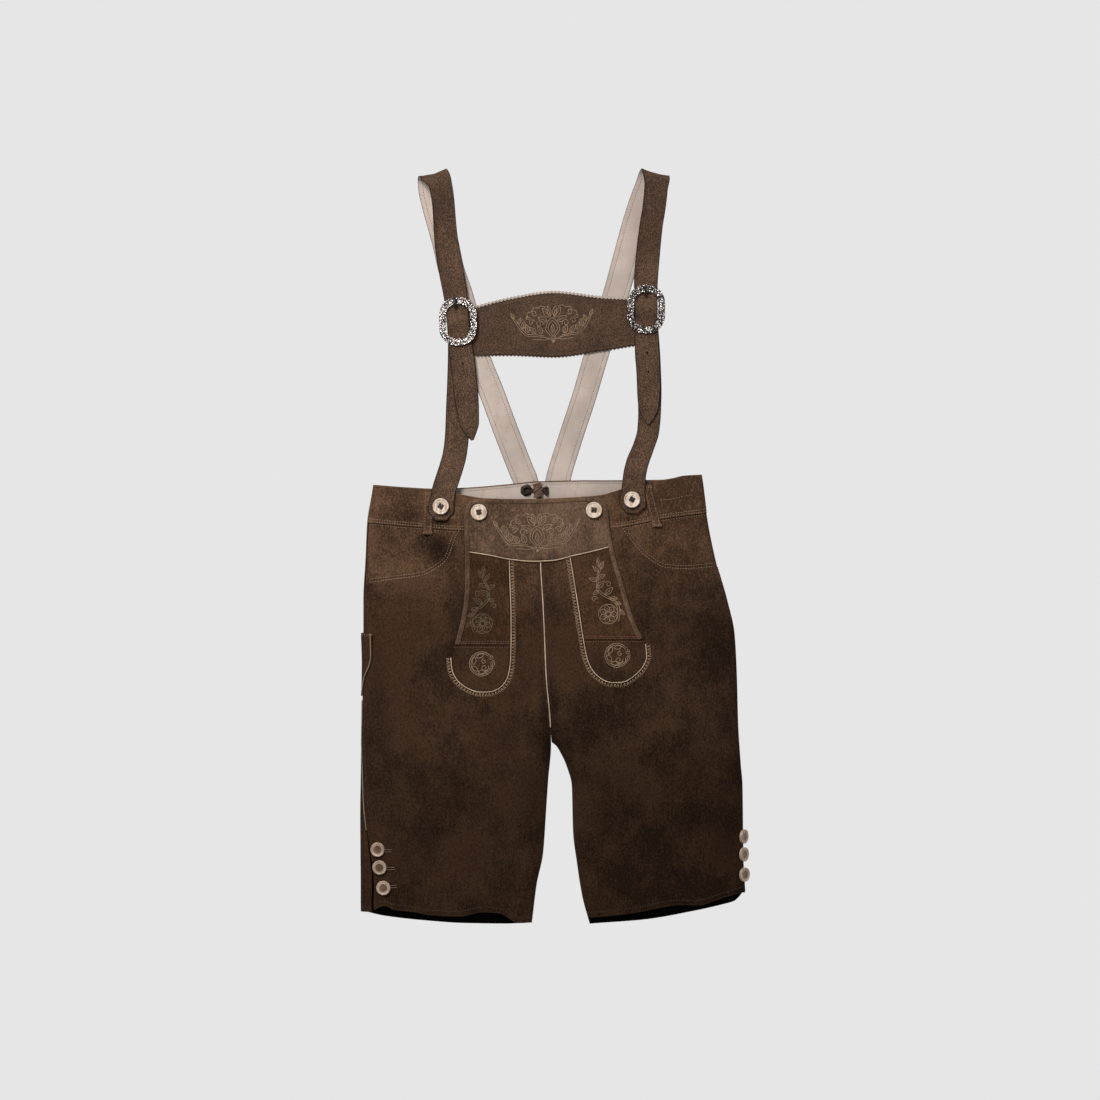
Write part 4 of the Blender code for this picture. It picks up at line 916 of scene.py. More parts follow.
def make_waistband(settings):
    steps = fractions(42, 3)
    for half in HALVES:
        name, lines = half.name, half.lines
        stations = front_stations(half, fractions(WIDTH, settings.weave_step))
        front = band_hide(half, stations, lines["seam"], lines["waist"], steps)
        front.press("bottom", 2.2, depth=0.3).press("top", 2.4, depth=0.25)
        back = band_hide(half, back_stations(half, BACK_STEP), lines["back_seam"], lines["back_waist"], steps)
        back.press("top", 2.4, depth=0.2)
        lining = facing_hide(half, lines["back_seam"], lines["back_waist"])
        lay(f"back_waistband_{name}", back, PANEL, "band_suede", "suede")
        lay(f"front_waistband_{name}", front, PANEL, "band_suede", "suede")
        lay(f"waistband_facing_{name}", lining, LINING, "cream_leather", "cream_leather")


FACING_MARGIN = 1.5  # how far the facing stays inside the waistband's lines


def facing_hide(half, low, high):
    """The cream leather on the inside of the back waistband, on the waistband's own points."""
    stations = [("inner", math.radians(angle)) for angle in (30, 60, 90)]
    stations += [("floor", k / 50) for k in range(1, 44)]

    def surface(station, step):
        share = station_share(station)
        y = between(high(share) - FACING_MARGIN, low(share) + FACING_MARGIN, step)
        point, _ = placed(half, station, y)
        ripple = 0.25 * noise.noise((point.x / 17, point.y / 40, 3.1))
        return point + UP * (PANEL + GAP + LINING + ripple), UP

    return Hide(surface, stations, fractions(38, 3)).press("top", 2.6, depth=0.25)


POCKET_TURN = 8  # how far the facing runs on under the front panel
POCKET_FROM = 0.45  # where it begins, as a share of the half's width


def make_pocket(half):
    """The facing that shows in a pocket's mouth."""
    seam, edge = half.lines["seam"], front_top(half)
    stations = front_stations(half, [between(POCKET_FROM, 1, t) for t in fractions(128, 3)])

    def height(share, step):
        return between(seam(share) - GAP, edge(share) - POCKET_TURN, step)

    hide = panel(half, stations, fractions(78, 3), height, -(PANEL + GAP))
    lay(f"pocket_facing_{half.name}", hide, LINING, "pocket_suede", "suede")


# The knife pocket: how high above the fold its front edge lies at each y.
KNIFE_POCKET = [(-113, 9.2), (-140, 9.4), (-155, 8.7), (-174, 5.4), (-194, 3.6)]
KNIFE_TOP, KNIFE_FOOT = -113, -194
POCKET_MOUTH = 2.2  # how far the mouth stands open


def make_knife_pocket():
    edge = Smooth(KNIFE_POCKET)

    def lifted(share, y):
        return GAP + PANEL + POCKET_MOUTH * ramp(y, -155, KNIFE_TOP) * ramp(share, 0, 0.45)

    def surface(share, y):
        return RIGHT.over(between(-2.2, edge(y), share), y, lifted(share, y))

    rows = [between(KNIFE_TOP, KNIFE_FOOT, t) for t in fractions(KNIFE_TOP - KNIFE_FOOT, 3)]
    hide = Hide(surface, fractions(12, 1.2, (0.4, 1.0, 1.8)), rows).press("top", 2, depth=0.2)
    places = np.linspace(KNIFE_TOP, KNIFE_FOOT, 54)
    path = [RIGHT.over(edge(y) - 0.5, y, lifted(1, y) + GAP + PIPING)[0] for y in places]
    # The knife pocket's piping is painted darker as shade, as the side turns away.
    piping = cord_along("knife_pocket_piping", path, PIPING, "dull_piping")
    lay("knife_pocket", hide, PANEL, "suede", "suede")


BELT_LOOPS = {  # the middle of each loop's top and bottom end
    "right": ((-163, 70), (-164.5, 15)),
    "left": ((118.8, 79), (132.5, 25)),
}
LOOP_WIDTH = 11
LOOP_LEATHER = 1.3


def on_front(x, y, lift):
    """A point of the front under (x, y), moved out by lift, and its direction."""
    half = RIGHT if x < RIGHT.inner_edge(y) else LEFT
    return half.at(x, y, half.top(x, y), lift)


def make_pockets(settings):
    for half in HALVES:
        make_pocket(half)
    make_knife_pocket()


def make_belt_loops(settings):
    across = [share - 0.5 for share in fractions(LOOP_WIDTH, 1.2, (0.4, 1.0, 1.8))]
    for half in HALVES:

        def surface(aside, step, ends=BELT_LOOPS[half.name]):
            x, y = (between(*values, step) for values in zip(*ends))
            point, out = on_front(x + aside * LOOP_WIDTH, y, 0)
            bow = 0.35 * math.sin(step * math.pi)
            return point + out * (GAP + LOOP_LEATHER + bow), out

        hide = Hide(surface, across, fractions(56, 2.2)).press("first last", 1.8, depth=0.22).press("top bottom", 3)
        name = f"belt_loop_{half.name}"
        lay(name, hide, LOOP_LEATHER, "band_suede", "suede")


# The drop flap

# The yoke: its top and bottom line across x, and its sides down y.
YOKE_TOP = [(-115, 54.5), (-109, 56.4), (-27, 55.1), (48, 58.1), (58, 56.6), (70, 50)]
YOKE_PIPING = [(-116, -7), (-84, -12), (-60, -16.9), (-27, -19.9), (-2, -18.7), (23, -12.7), (48, -7), (76, 0.5)]
YOKE_RIGHT = [(57, -109), (43, -115.4), (20, -116.7), (-14, -115.6)]
YOKE_LEFT = [(57, 57.5), (43, 67.4), (13, 72.3), (-14, 78)]
SEAM_CHANNEL = 1.1  # half the width left between the yoke and the tongues for the piping

# A tongue: its outer and inner edge down y, each ending in a round tip.
Tongue = namedtuple("Tongue", "y outer inner")
TONGUES = {
    "right": table(
        Tongue,
        (0, -115.6, -60.2), (-17, -115.6, -59.9), (-49, -115.6, -59), (-87, -119.1, -57.6), (-119, -126.6, -57.5),
        (-130, -129.6, -57.7), (-144, -132.8, -58), (-158.6, -131.5, -59.5), (-169, -127.3, -62), (-178, -119, -67.5),
        (-183.6, -109.1, -74.3), (-187.2, -98, -85),
    ),
    "left": table(
        Tongue,
        (20, 70.5, 17), (0, 74.8, 19), (-17, 79, 21.4), (-49, 88, 26.7), (-82, 97.3, 32), (-114, 109.7, 36.9),
        (-126.4, 115.9, 39), (-143.8, 117.2, 42.5), (-155, 112.5, 46.8), (-164, 104.5, 53), (-171.2, 94.8, 62.5),
        (-175, 86, 73),
    ),
}
TIP_SEAM = {"right": -128, "left": -121}
PIPING_END = {"right": -141, "left": -119}  # the outer end of a tongue's piping


def make_yoke():
    top, piping, right, left = (Smooth(line) for line in (YOKE_TOP, YOKE_PIPING, YOKE_RIGHT, YOKE_LEFT))

    def surface(share, step):
        x = between(YOKE_RIGHT[0][1], YOKE_LEFT[0][1], share)
        for _ in range(4):  # the sides depend on y, which depends on x
            y = between(top(x), piping(x) + SEAM_CHANNEL, step)
            x = between(right(y), left(y), share)
        return on_front(x, y, FLAP_TOP)

    hide = Hide(surface, fractions(180, 2.6), fractions(70, 2.6)).press("bottom", 2.0, depth=0.3)
    path = [on_front(x, piping(x), FLAP_TOP - 0.3)[0] for x in np.linspace(-113.5, 71.5, 94)]
    cord = cord_along("yoke_piping", path, PIPING * 1.1)
    lay("flap_yoke", hide, FLAP, "flap_suede", "suede")


def tongue_edges(half):
    rows = TONGUES[half.name]
    return Smooth((row.y, row.outer) for row in rows), Smooth((row.y, row.inner) for row in rows)


def offset(path, aside):
    """A path in the plane moved to its right."""
    return [spot - leftward(path, k) * aside for k, spot in enumerate(path)]


def tongue_outline(half, beside):
    """The path beside a tongue: down its inner edge, round its tip and up to the piping's end."""
    rows = TONGUES[half.name]
    _, inner = tongue_edges(half)
    first = Smooth(YOKE_PIPING)(rows[2].inner) - 2
    edge = [(inner(first), first)] + [(row.inner, row.y) for row in rows if row.y < first - 6]
    edge += [(row.outer, row.y) for row in reversed(rows) if row.y < PIPING_END[half.name]]
    edge = route(edge, 1.6)
    for _ in range(8):  # round the tip
        edge = [edge[0], *((a + b * 2 + c) / 4 for a, b, c in zip(edge, edge[1:], edge[2:])), edge[-1]]
    return offset(edge, half.side * beside)


def make_tongue(half):
    outer, inner = tongue_edges(half)
    piping = Smooth(YOKE_PIPING)
    tip, name = TIP_SEAM[half.name], half.name

    def upper(share, step):
        x = between(outer(0), inner(0), share)
        for _ in range(4):
            y = between(piping(x) - SEAM_CHANNEL, tip + HALF_GAP, step)
            x = between(outer(y), inner(y), share)
        return on_front(x, y, FLAP_TOP)

    def lower(share, y):
        return on_front(between(outer(y), inner(y), share), y, FLAP_TOP)

    tongue = Hide(upper, fractions(60, 2.4), fractions(110, 2.6)).press("bottom", 2.2, 4.6).press("top", 2.2, depth=0.2)
    lowest = TONGUES[name][-1].y
    drop = tip - HALF_GAP - lowest
    rows = [lowest + drop * (1 - t) ** 1.4 for t in fractions(drop, 2.0)]
    end = Hide(lower, fractions(60, 2.4), rows).press("top", 2.2)
    path = [on_front(spot.x, spot.y, PIPING + 0.45)[0] for spot in tongue_outline(half, PIPING + 0.5)]
    cord = cord_along(f"tongue_piping_{name}", path, PIPING)
    binding = make_binding(half)
    lay(f"flap_tongue_{name}", tongue, FLAP, "tongue_suede", "suede")
    lay(f"flap_tip_{name}", end, FLAP, "tip_suede", "suede")


BINDING = 5.6  # width of the folded edge round the flap
BINDING_LEATHER = 1.0
BINDING_SEWN = {"right": "first", "left": "last"}  # the edge that is stitched to the flap
BINDING_CORNER = {  # the middle of the binding, from the centre of the top edge round the corner
    "right": [(-27, 57.6), (-60, 57.7), (-90, 58.4), (-104, 57.4), (-110, 53.2), (-113, 46), (-114, 36)],
    "left": [(-27, 57.6), (0, 58.6), (30, 60.2), (46, 61), (56, 59.4), (62.5, 54.4), (65.6, 46), (66.4, 36)],
}


def make_binding(half):
    """The folded edge round the flap: along its top, round its corner and down its side to the tip's seam."""
    side = YOKE_RIGHT if half is RIGHT else YOKE_LEFT
    below = [(row.y, row.outer) for row in TONGUES[half.name] if row.y < -20]
    edge = Smooth([(y, x) for y, x in side if y < 50] + below)
    middle = half.side * (BINDING / 2 + 0.2)
    down = (24, 10, -6, -24, -44, -64, -84, -104, TIP_SEAM[half.name] + 1)
    path = route(BINDING_CORNER[half.name] + [(edge(y) - middle, y) for y in down], 2.2)

    def surface(aside, k):
        spot = path[k] + leftward(path, k) * aside * BINDING
        crown = 0.8 * (1 - (2 * aside) ** 2)
        step_down = 0.8 * ramp(spot.y, 50, 57)  # along the top it lies beyond the yoke
        return on_front(spot.x, spot.y, FLAP_TOP + GAP + BINDING_LEATHER + crown - step_down)

    across = [share - 0.5 for share in fractions(BINDING, 0.9, (0.3, 0.8))]
    name = f"flap_binding_{half.name}"
    hide = HIDES[name] = Hide(surface, across, range(len(path)))
    hide.press(BINDING_SEWN[half.name], 1.2, depth=0.2, width=0.6)
    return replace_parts(hide.build(name, BINDING_LEATHER, "edge_suede", "suede"), name)


def make_flap(settings):
    make_yoke()
    for half in HALVES:
        make_tongue(half)


def on_centre(y):
    """The centre seam's x at y."""
    return (RIGHT.inner_edge(y) + LEFT.inner_edge(y)) / 2


def make_piping(settings):
    """Piping in the centre seam, which dips between the legs, and on the right side seam."""
    lift = GAP + PIPING
    places = np.linspace(-21.5, -234, 107)
    centre = [on_front(on_centre(y), y, lift + 0.35 * ramp(y, CLOSING, CROTCH))[0] for y in places]
    side = [RIGHT.over(RIGHT.seam_rise(y), y, lift)[0] for y in np.linspace(-200, -368, 86)]
    cord_along("centre_piping", centre, PIPING * 1.1)
    # The side piping is painted darker as shade, as the side turns away.
    cord_along("side_piping", side, PIPING * 1.1, "dull_piping")


# Straps: ribbons that follow a route

# A place on a strap's brown face: turn and tilt turn the strap's width, in degrees from +X.
Stop = namedtuple("Stop", "x y z turn tilt width")

STRAP_END_LIFT = 2.0 + STRAP  # the lower straps' brown face above the waistband


def on_waist(x, y, turn, width):
    """A stop on the waistband."""
    return Stop(x, y, on_front(x, y, 0)[0].z + STRAP_END_LIFT, turn, 0, width)


SHOULDER_ROUTES = {
    "right": table(
        Stop,
        (-106.9, 137.5, 3.8, 14, 0, 3), (-108.6, 145, 4.0, 13, 0, 13), (-110.8, 158.6, 4.4, 9, 0, 24.5),
        (-115.4, 200.2, 7.2, 5, 0, 31), (-119.3, 238, 9.8, 4, 0, 31), (-122.3, 259, 9.8, 4, 0, 30.5),
        (-124.1, 276, 9.9, 4, 0, 28.4), (-125.5, 290.8, 14.2, 4, 0, 28.4), (-126.8, 306, 9.9, 5, 0, 29),
        (-128.5, 322.4, 9.8, 6, 0, 30), (-134.2, 356.2, 11, 7, -8, 31.5), (-139, 385.4, 13, 4, -18, 32),
        (-141.4, 410.8, 15.5, 3, -30, 33), (-143.3, 440.7, 18.5, 3, -36, 34), (-146.6, 462.8, 20, 8, -34, 35),
        (-151.8, 475.8, 17.5, 14, -18, 36.5), (-157.5, 482.2, 10.5, 16, 0, 37), (-159.6, 478, 3.2, 14, 0, 36.5),
        (-159.4, 466.7, 0, 12, 0, 35.5), (-155.4, 444.6, 0, 12, 0, 34.5), (-148.9, 419.9, 0, 12, 0, 34),
        (-141.2, 390, 0, 10, 0, 33.5), (-135, 361.4, 0, 12, 0, 33), (-123, 326.3, 0, 16, 0, 32.5),
        (-100.4, 245.7, 0, 18, 0, 31.8), (-81.8, 198.9, 0, 21, 0, 31.6), (-63.6, 150, 0, 20, 0, 31.6),
        (-52, 120, 0.9, 20, 0, 31.6), (-43, 97, 2.9, 20, 0, 31.6), (-37.8, 84, 3.5, 16, 0, 31.5),
        (-35.4, 66, 3.5, 5, 0, 31), (-35, 54, 3.5, 0, 0, 28),
    ),
    "left": table(
        Stop,
        (121.4, 158, 4.8, 0, 0, 3), (121.6, 166, 5.0, 0, 0, 14), (121.8, 178, 5.5, 0, 0, 25),
        (122, 200, 6.3, 0, 0, 29.5), (121.4, 225.8, 7.6, -2, 0, 30.5), (119.7, 250.6, 9.8, -2, 0, 31),
        (119, 273, 9.8, -1, 0, 30.5), (118.6, 291.6, 9.9, 0, 0, 29), (118.4, 306.4, 14.2, 0, 0, 29),
        (118.2, 321.6, 9.9, 0, 0, 29), (118, 338, 9.8, -2, 0, 30), (121.2, 380.9, 12, -6, -14, 31.5),
        (125.1, 415.4, 16, -8, -24, 32.5), (128.4, 435.5, 18.5, -7, -28, 33.5), (131.2, 462, 20, -8, -30, 35),
        (131.8, 476, 17.5, -12, -18, 36.5), (130.2, 483.2, 10.5, -15, 0, 37), (127, 479, 3.2, -15, 0, 36.5),
        (123.4, 469, 0, -16, 0, 36), (115.5, 450.2, 0, -18, 0, 34.5), (105.6, 420.3, 0, -17, 0, 34),
        (93.1, 375.7, 0, -16, 0, 33.5), (79.6, 328.2, 0, -18, 0, 32.5), (67.6, 291.2, 0, -18, 0, 31.5),
        (56, 254.8, 0, -17, 0, 31), (38, 193.7, 0, -17, 0, 30.6), (23.6, 150, 0, -17, 0, 30.6),
        (14, 120, 0.9, -17, 0, 30.8), (7.2, 98, 2.9, -17, 0, 31), (4, 84, 3.5, -14, 0, 31.5),
        (1.2, 68, 3.5, -5, 0, 31), (0.8, 57, 3.5, 0, 0, 28),
    ),
}
LINING_FROM = {"right": 10, "left": 11}  # the stop above the buckle where the lining begins

LOWER_ROUTES = {
    "right": [
        *(on_waist(*row) for row in (
            (-147, 33, 0, 13.5), (-147, 36.5, 0, 19.5), (-147, 41, 0, 27), (-147, 44.5, 0, 33), (-146.8, 50, -3, 33),
            (-145.4, 60, -8, 30.8), (-143.3, 71.5, -13, 30.5),
        )),
        *table(
            Stop,
            (-138.2, 88.4, 15, -15, -3, 30.5), (-133.8, 103, 9, -16, -3, 30.5), (-129.6, 121, 3.2, -13, 0, 30.5),
            (-127, 145.6, 1.7, -9, 0, 30.5), (-126.2, 166, 1.9, -5, 0, 30.5), (-125.2, 190, 3.6, -3, 0, 30.5),
            (-124.2, 209, 5.2, -1, 0, 30.5), (-123.4, 242, 7.8, 1, 0, 30), (-123.2, 257.4, 7.9, 3, 0, 30),
            (-123.9, 274, 8.0, 4, 0, 29), (-125, 288, 9.3, 4, 0, 29), (-125.1, 297, 9.4, 4, 0, 28),
        ),
    ],
    "left": [
        *(on_waist(*row) for row in (
            (99.3, 42, 2, 14.5), (99.6, 46, 3, 21.5), (100, 50, 4, 28.5), (100.4, 53.5, 5, 34.6),
            (100.7, 58, 6, 34.2), (101.3, 70, 8, 30), (102.3, 82, 8, 29.5),
        )),
        *table(
            Stop,
            (103.8, 95, 16.8, 10, -3, 29), (107.4, 109, 10.5, 16, -8, 28.5), (115.4, 129, 4.2, 24, -8, 27),
            (121.5, 150, 2.0, 14, 0, 28), (123.2, 175, 3.0, 6, 0, 29), (123.3, 200.2, 3.9, 0, 0, 30),
            (122.6, 225, 5.4, -2, 0, 30), (120.9, 256, 7.8, -2, 0, 30), (119.6, 273, 7.9, -3, 0, 30),
            (118.8, 289.4, 8.0, -2, 0, 29), (118.4, 303.6, 9.3, 0, 0, 29), (118.4, 312, 9.4, 0, 0, 28),
        ),
    ],
}


def strap_surface(stops):
    """The brown face of a strap along its stops: surface(aside, place), with aside from -0.5 to 0.5."""
    places = [0.0]
    for before, after in zip(stops, stops[1:]):
        places.append(places[-1] + math.dist(before[:3], after[:3]))
    curves = [Smooth(zip(places, column)) for column in zip(*stops)]

    def middle(place):
        return Vector([curve(place) for curve in curves[:3]])

    def surface(aside, place):
        reach = 0.4
        run = (middle(min(place + reach, places[-1])) - middle(max(place - reach, 0))).normalized()
        turn, tilt, width = (curve(place) for curve in curves[3:])
        across = (toward(turn) * math.cos(math.radians(tilt))).to_3d() + UP * math.sin(math.radians(tilt))
        across = (across - run * across.dot(run)).normalized()
        point = middle(place) + across * (aside * width)
        point.z = max(point.z, 0)  # the floor
        return point, across.cross(run)

    return surface, places


def strap_steps(first, last, step):
    """Places along a strap, about step apart."""
    return [between(first, last, t) for t in fractions(last - first, step, (0.4, 1.2))]


def strap_across(width):
    """Where a strap's points lie across it, from -0.5 to 0.5."""
    return [share - 0.5 for share in fractions(width, 2.6, (0.4, 1.2, 2.4, 3.6))]


def make_straps(settings):
    across, detail = strap_across(31), settings.weave_step
    for half in HALVES:
        name = half.name
        surface, places = strap_surface(LOWER_ROUTES[name])
        lower = Hide(surface, strap_across(30), strap_steps(0, places[-1], detail)).press("first last", 3.6)
        lay(f"lower_strap_{name}", lower, STRAP, "strap_leather", "strap_leather")
        surface, places = strap_surface(SHOULDER_ROUTES[name])
        upper = Hide(surface, across, strap_steps(0, places[-1], detail)).press("first last", 3.6)

        def inside(aside, place, surface=surface):
            point, out = surface(aside * 0.98, place)
            return point - out * (STRAP + GAP + LINING), -out

        lining = Hide(inside, across, strap_steps(places[LINING_FROM[name]], places[-1], detail))
        lining.press("first last", 5.4, depth=0.4, width=1.3)
        lay(f"shoulder_strap_{name}", upper, STRAP, "strap_leather", "strap_leather")
        lay(f"strap_lining_{name}", lining, LINING, "cream_leather", "cream_leather")


# The chest strap: its top and bottom line across x.
CHEST_TOP = [(-129, 303.5), (-102, 309.7), (-57, 320.8), (-2, 328.8), (62, 322), (95, 320.3), (121, 318.5)]
CHEST_BOTTOM = [(-129, 246.3), (-57, 247), (-2, 244.9), (62, 252.9), (95, 258.3), (121, 262.6)]
CHEST_BACKING = STRAP + GAP + LINING + GAP + LINING  # the backing's top lies on the lined straps
CHEST_FACE = CHEST_BACKING + GAP + STRAP
BACKING_EDGE = 3.0  # how far the backing stands out at the top
PINK = 2.4  # half the width of a tooth of its pinked edge


def chest_height(x, y):
    """The height of the chest strap's face, which is a little wavy."""
    return CHEST_FACE - 0.3 + 0.3 * noise.noise((x / 30, y / 24, 5.5))


def make_chest_strap(settings):
    top, bottom = Smooth(CHEST_TOP), Smooth(CHEST_BOTTOM)
    first, last = CHEST_TOP[0][0], CHEST_TOP[-1][0]
    count = round((last - first) / PINK)
    across = range(count + 1)

    def spot(k, step, rise, drop, tooth):
        x = between(first, last, min(k / count, 1))
        pinked = tooth * (k % 2) * (1 - ramp(min(step, 1 - step), 0, 0.03))
        y = between(top(x) + rise - pinked, bottom(x) - drop + pinked, step)
        return Vector((x, y, chest_height(x, y))), UP

    def backing(k, step):
        point, out = spot(k + 1, step, BACKING_EDGE, 1, 1.6)
        return point - UP * (STRAP + GAP), out

    face = Hide(lambda k, step: spot(k, step, 0, 0, 1.7), across, fractions(72, 3.2, (0.6, 1.5, 2.8)))
    face.press("top bottom", 6.2, depth=0.35).press("first last", 4.0, depth=0.3)
    back = Hide(backing, across, fractions(74, 8, (0.7, 1.8)))
    lay("chest_strap_backing", back, LINING, "cream_leather", "cream_leather")
    lay("chest_strap", face, STRAP, "chest_leather", "strap_leather")


# Buckles, buttons and lacing, modelled with Blender's own tools


def select(*pieces):
    """Selects these pieces alone; the first is active."""
    bpy.ops.object.select_all(action="DESELECT")
    for piece in pieces:
        piece.select_set(True)
    bpy.context.view_layer.objects.active = pieces[0] if pieces else None


def discard(*pieces):
    for piece in pieces:
        bpy.data.objects.remove(piece)


def start(add, **settings):
    """Adds a primitive with nothing else selected and opens it in edit mode, all of it selected."""
    select()
    add(**settings)
    bpy.ops.object.mode_set(mode="EDIT")


def inset_faces(width, rise=0.0):
    """Insets the picked faces and moves them up, in millimetres."""
    bpy.ops.mesh.inset(thickness=width * MM)
    bpy.ops.transform.translate(value=(0, 0, rise * MM))


def turn_outward():
    bpy.ops.mesh.select_all(action="SELECT")
    bpy.ops.mesh.normals_make_consistent(inside=False)


def turned(degrees, axis):
    return Matrix.Rotation(math.radians(degrees), 4, axis)


def moved(x, y, z):
    """The matrix that moves a piece by millimetres."""
    return Matrix.Translation(Vector((x, y, z)) * MM)


def pick(kind, test):
    """Selects the edges or faces of the edited mesh that pass a test of the item and its middle."""
    bpy.ops.mesh.select_mode(type=kind)
    mesh = bmesh.from_edit_mesh(bpy.context.object.data)
    mesh.select_mode = {kind}
    for item in (*mesh.verts, *mesh.faces):
        item.select = False
    mesh.select_flush(False)
    for item in mesh.edges if kind == "EDGE" else mesh.faces:
        middle = sum((vert.co for vert in item.verts), Vector()) / len(item.verts)
        if test(item, middle):
            item.select_set(True)
    bmesh.update_edit_mesh(bpy.context.object.data)


def finished(matrix=None, smooth=40):
    """Ends edit mode, shades the mesh and moves its points into place."""
    piece = bpy.context.object
    bpy.ops.object.mode_set(mode="OBJECT")
    bpy.ops.object.shade_smooth_by_angle(angle=math.radians(smooth))
    piece.data.transform((matrix or Matrix()) @ piece.matrix_basis)
    piece.matrix_basis = Matrix()
    return piece


def copied(piece, matrix):
    """A copy of a piece with its own mesh, moved by a matrix."""
    other = piece.copy()
    other.data = piece.data.copy()
    other.data.transform(matrix)
    bpy.context.scene.collection.objects.link(other)
    return other


def join(pieces, name, finish, node=None):
    """Joins pieces into one object in one finish."""
    select(*pieces)
    if len(pieces) > 1:
        bpy.ops.object.join()
    pieces[0].data.materials.clear()
    pieces[0].data.materials.append(FINISHES[finish])
    return dressed(pieces[0], name, node)


def dressed(piece, name, node=None):
    """Names a piece and puts it in place of a node."""
    piece.name = piece.data.name = name
    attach(piece, "root")
    if node:
        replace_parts(piece, node)
    return piece


def facing(centre, out, turn=0.0):
    """The matrix that stands a piece modelled flat at the origin on a place, turned by degrees and facing outward."""
    stood = UP.rotation_difference(Vector(out).normalized()).to_matrix().to_4x4()
    return moved(*centre) @ stood @ turned(turn, "Z")


BUCKLE_CENTRES = {"right": (-125.4, 290.8), "left": (118.4, 306.4)}
BUCKLE_HALF_WIDTH, BUCKLE_HALF_HEIGHT = 24.4, 31.4
BUCKLE_CORNER = 24.2  # radius of the frame's corners
BUCKLE_RIM = 8.9  # width of the frame
BUCKLE_THICK = 3.6
BUCKLE_BASE = 10.2  # the frame's underside, on the strap's tail
BAR_RADIUS, PRONG_RADIUS = 1.0, 1.4
PRONG_ASIDE = {"right": -3.4, "left": -1.2}  # where the prong comes out of its hole
SCROLL_PITCH = 6.0  # from one scroll of the frame's relief to the next


def buckle_blank():
    """A rounded frame with a hollow between its raised outer and inner borders."""
    start(bpy.ops.mesh.primitive_cube_add, size=MM)
    bpy.ops.transform.resize(value=(BUCKLE_HALF_WIDTH * 2, BUCKLE_HALF_HEIGHT * 2, BUCKLE_THICK * 0.86))
    pick("EDGE", lambda edge, middle: abs(edge.verts[0].co.z - edge.verts[1].co.z) > MM)
    bpy.ops.mesh.bevel(offset=BUCKLE_CORNER * MM, segments=14, profile=0.52, affect="EDGES")
    pick("FACE", lambda face, middle: abs(face.normal.z) > 0.9)
    inset_faces(BUCKLE_RIM)
    bpy.ops.mesh.bridge_edge_loops()
    pick("FACE", lambda face, middle: face.normal.z > 0.9)
    inset_faces(1.3, -0.7)
    return finished(smooth=50)


def soften(piece, width, segments=2):
    """Rounds a piece's sharp edges."""
    select(piece)
    bevel = piece.modifiers.new("soften", "BEVEL")
    bevel.limit_method, bevel.angle_limit = "ANGLE", math.radians(35)
    bevel.width, bevel.segments = width * MM, segments
    bpy.ops.object.modifier_apply(modifier="soften")
    return piece


def scroll():
    """One scroll of the relief: a curl of wire with a bead in it."""
    place, turn = (1.7 * MM, 0, 0), (math.pi / 2, 0, 0)
    start(bpy.ops.mesh.primitive_circle_add, vertices=6, radius=0.62 * MM, location=place, rotation=turn)
    bpy.ops.mesh.spin(steps=9, angle=math.radians(250), center=(0, 0, 0), axis=(0, 0, 1))
    turn_outward()
    curl = finished()
    start(bpy.ops.mesh.primitive_ico_sphere_add, subdivisions=1, radius=0.95 * MM)
    bpy.ops.mesh.bevel(offset=0.2 * MM, segments=1, affect="EDGES")
    return curl, finished()


def frame_path(inward, step):
    """Places round the buckle's frame, in millimetres, and the direction at each, in degrees."""
    radius = BUCKLE_CORNER - inward
    wide, high = BUCKLE_HALF_WIDTH - inward - radius, BUCKLE_HALF_HEIGHT - inward - radius
    corners = []
    for quarter, (sx, sy) in enumerate(((1, 1), (-1, 1), (-1, -1), (1, -1))):
        corners += [Vector((sx * wide, sy * high)) + toward(90 * (quarter + k / 6), radius) for k in range(7)]
    path = route([*corners, corners[0]], step, smooth=False)
    return [(spot, math.degrees(math.atan2(*(path[k + 1] - spot).yx))) for k, spot in enumerate(path[:-1])]


def make_buckles(settings):
    curl, bead = scroll()
    parts = [soften(buckle_blank(), 0.55)]
    lift = BUCKLE_THICK * 0.43 - 0.45
    for k, (spot, turn) in enumerate(frame_path(BUCKLE_RIM / 2, SCROLL_PITCH)):
        parts.append(copied(curl, moved(*spot, lift) @ turned(turn, "Z") @ turned(180 * (k % 2), "X")))
        parts.append(copied(bead, moved(*(spot + toward(turn, SCROLL_PITCH / 2)), lift + 0.1)))
    whole = join(parts, "buckle_right", "silver")
    for half in HALVES:
        x, y = BUCKLE_CENTRES[half.name]
        made = copied(whole, moved(x, y, BUCKLE_BASE + BUCKLE_THICK / 2))
        dressed(made, f"buckle_{half.name}_frame", f"buckle_{half.name}")
        make_prong(half, x, y)
    discard(curl, bead, whole)


# The rings of the prong from its foot to its tip: how far on and how far up each lies, and how much it shrinks.
PRONG_RINGS = ((2.5, 1.4, 1.0), (2.5, 1.8, 1.0), (3.5, 0, 0.95), (3.5, 0, 0.85), (1, 0, 0.6))


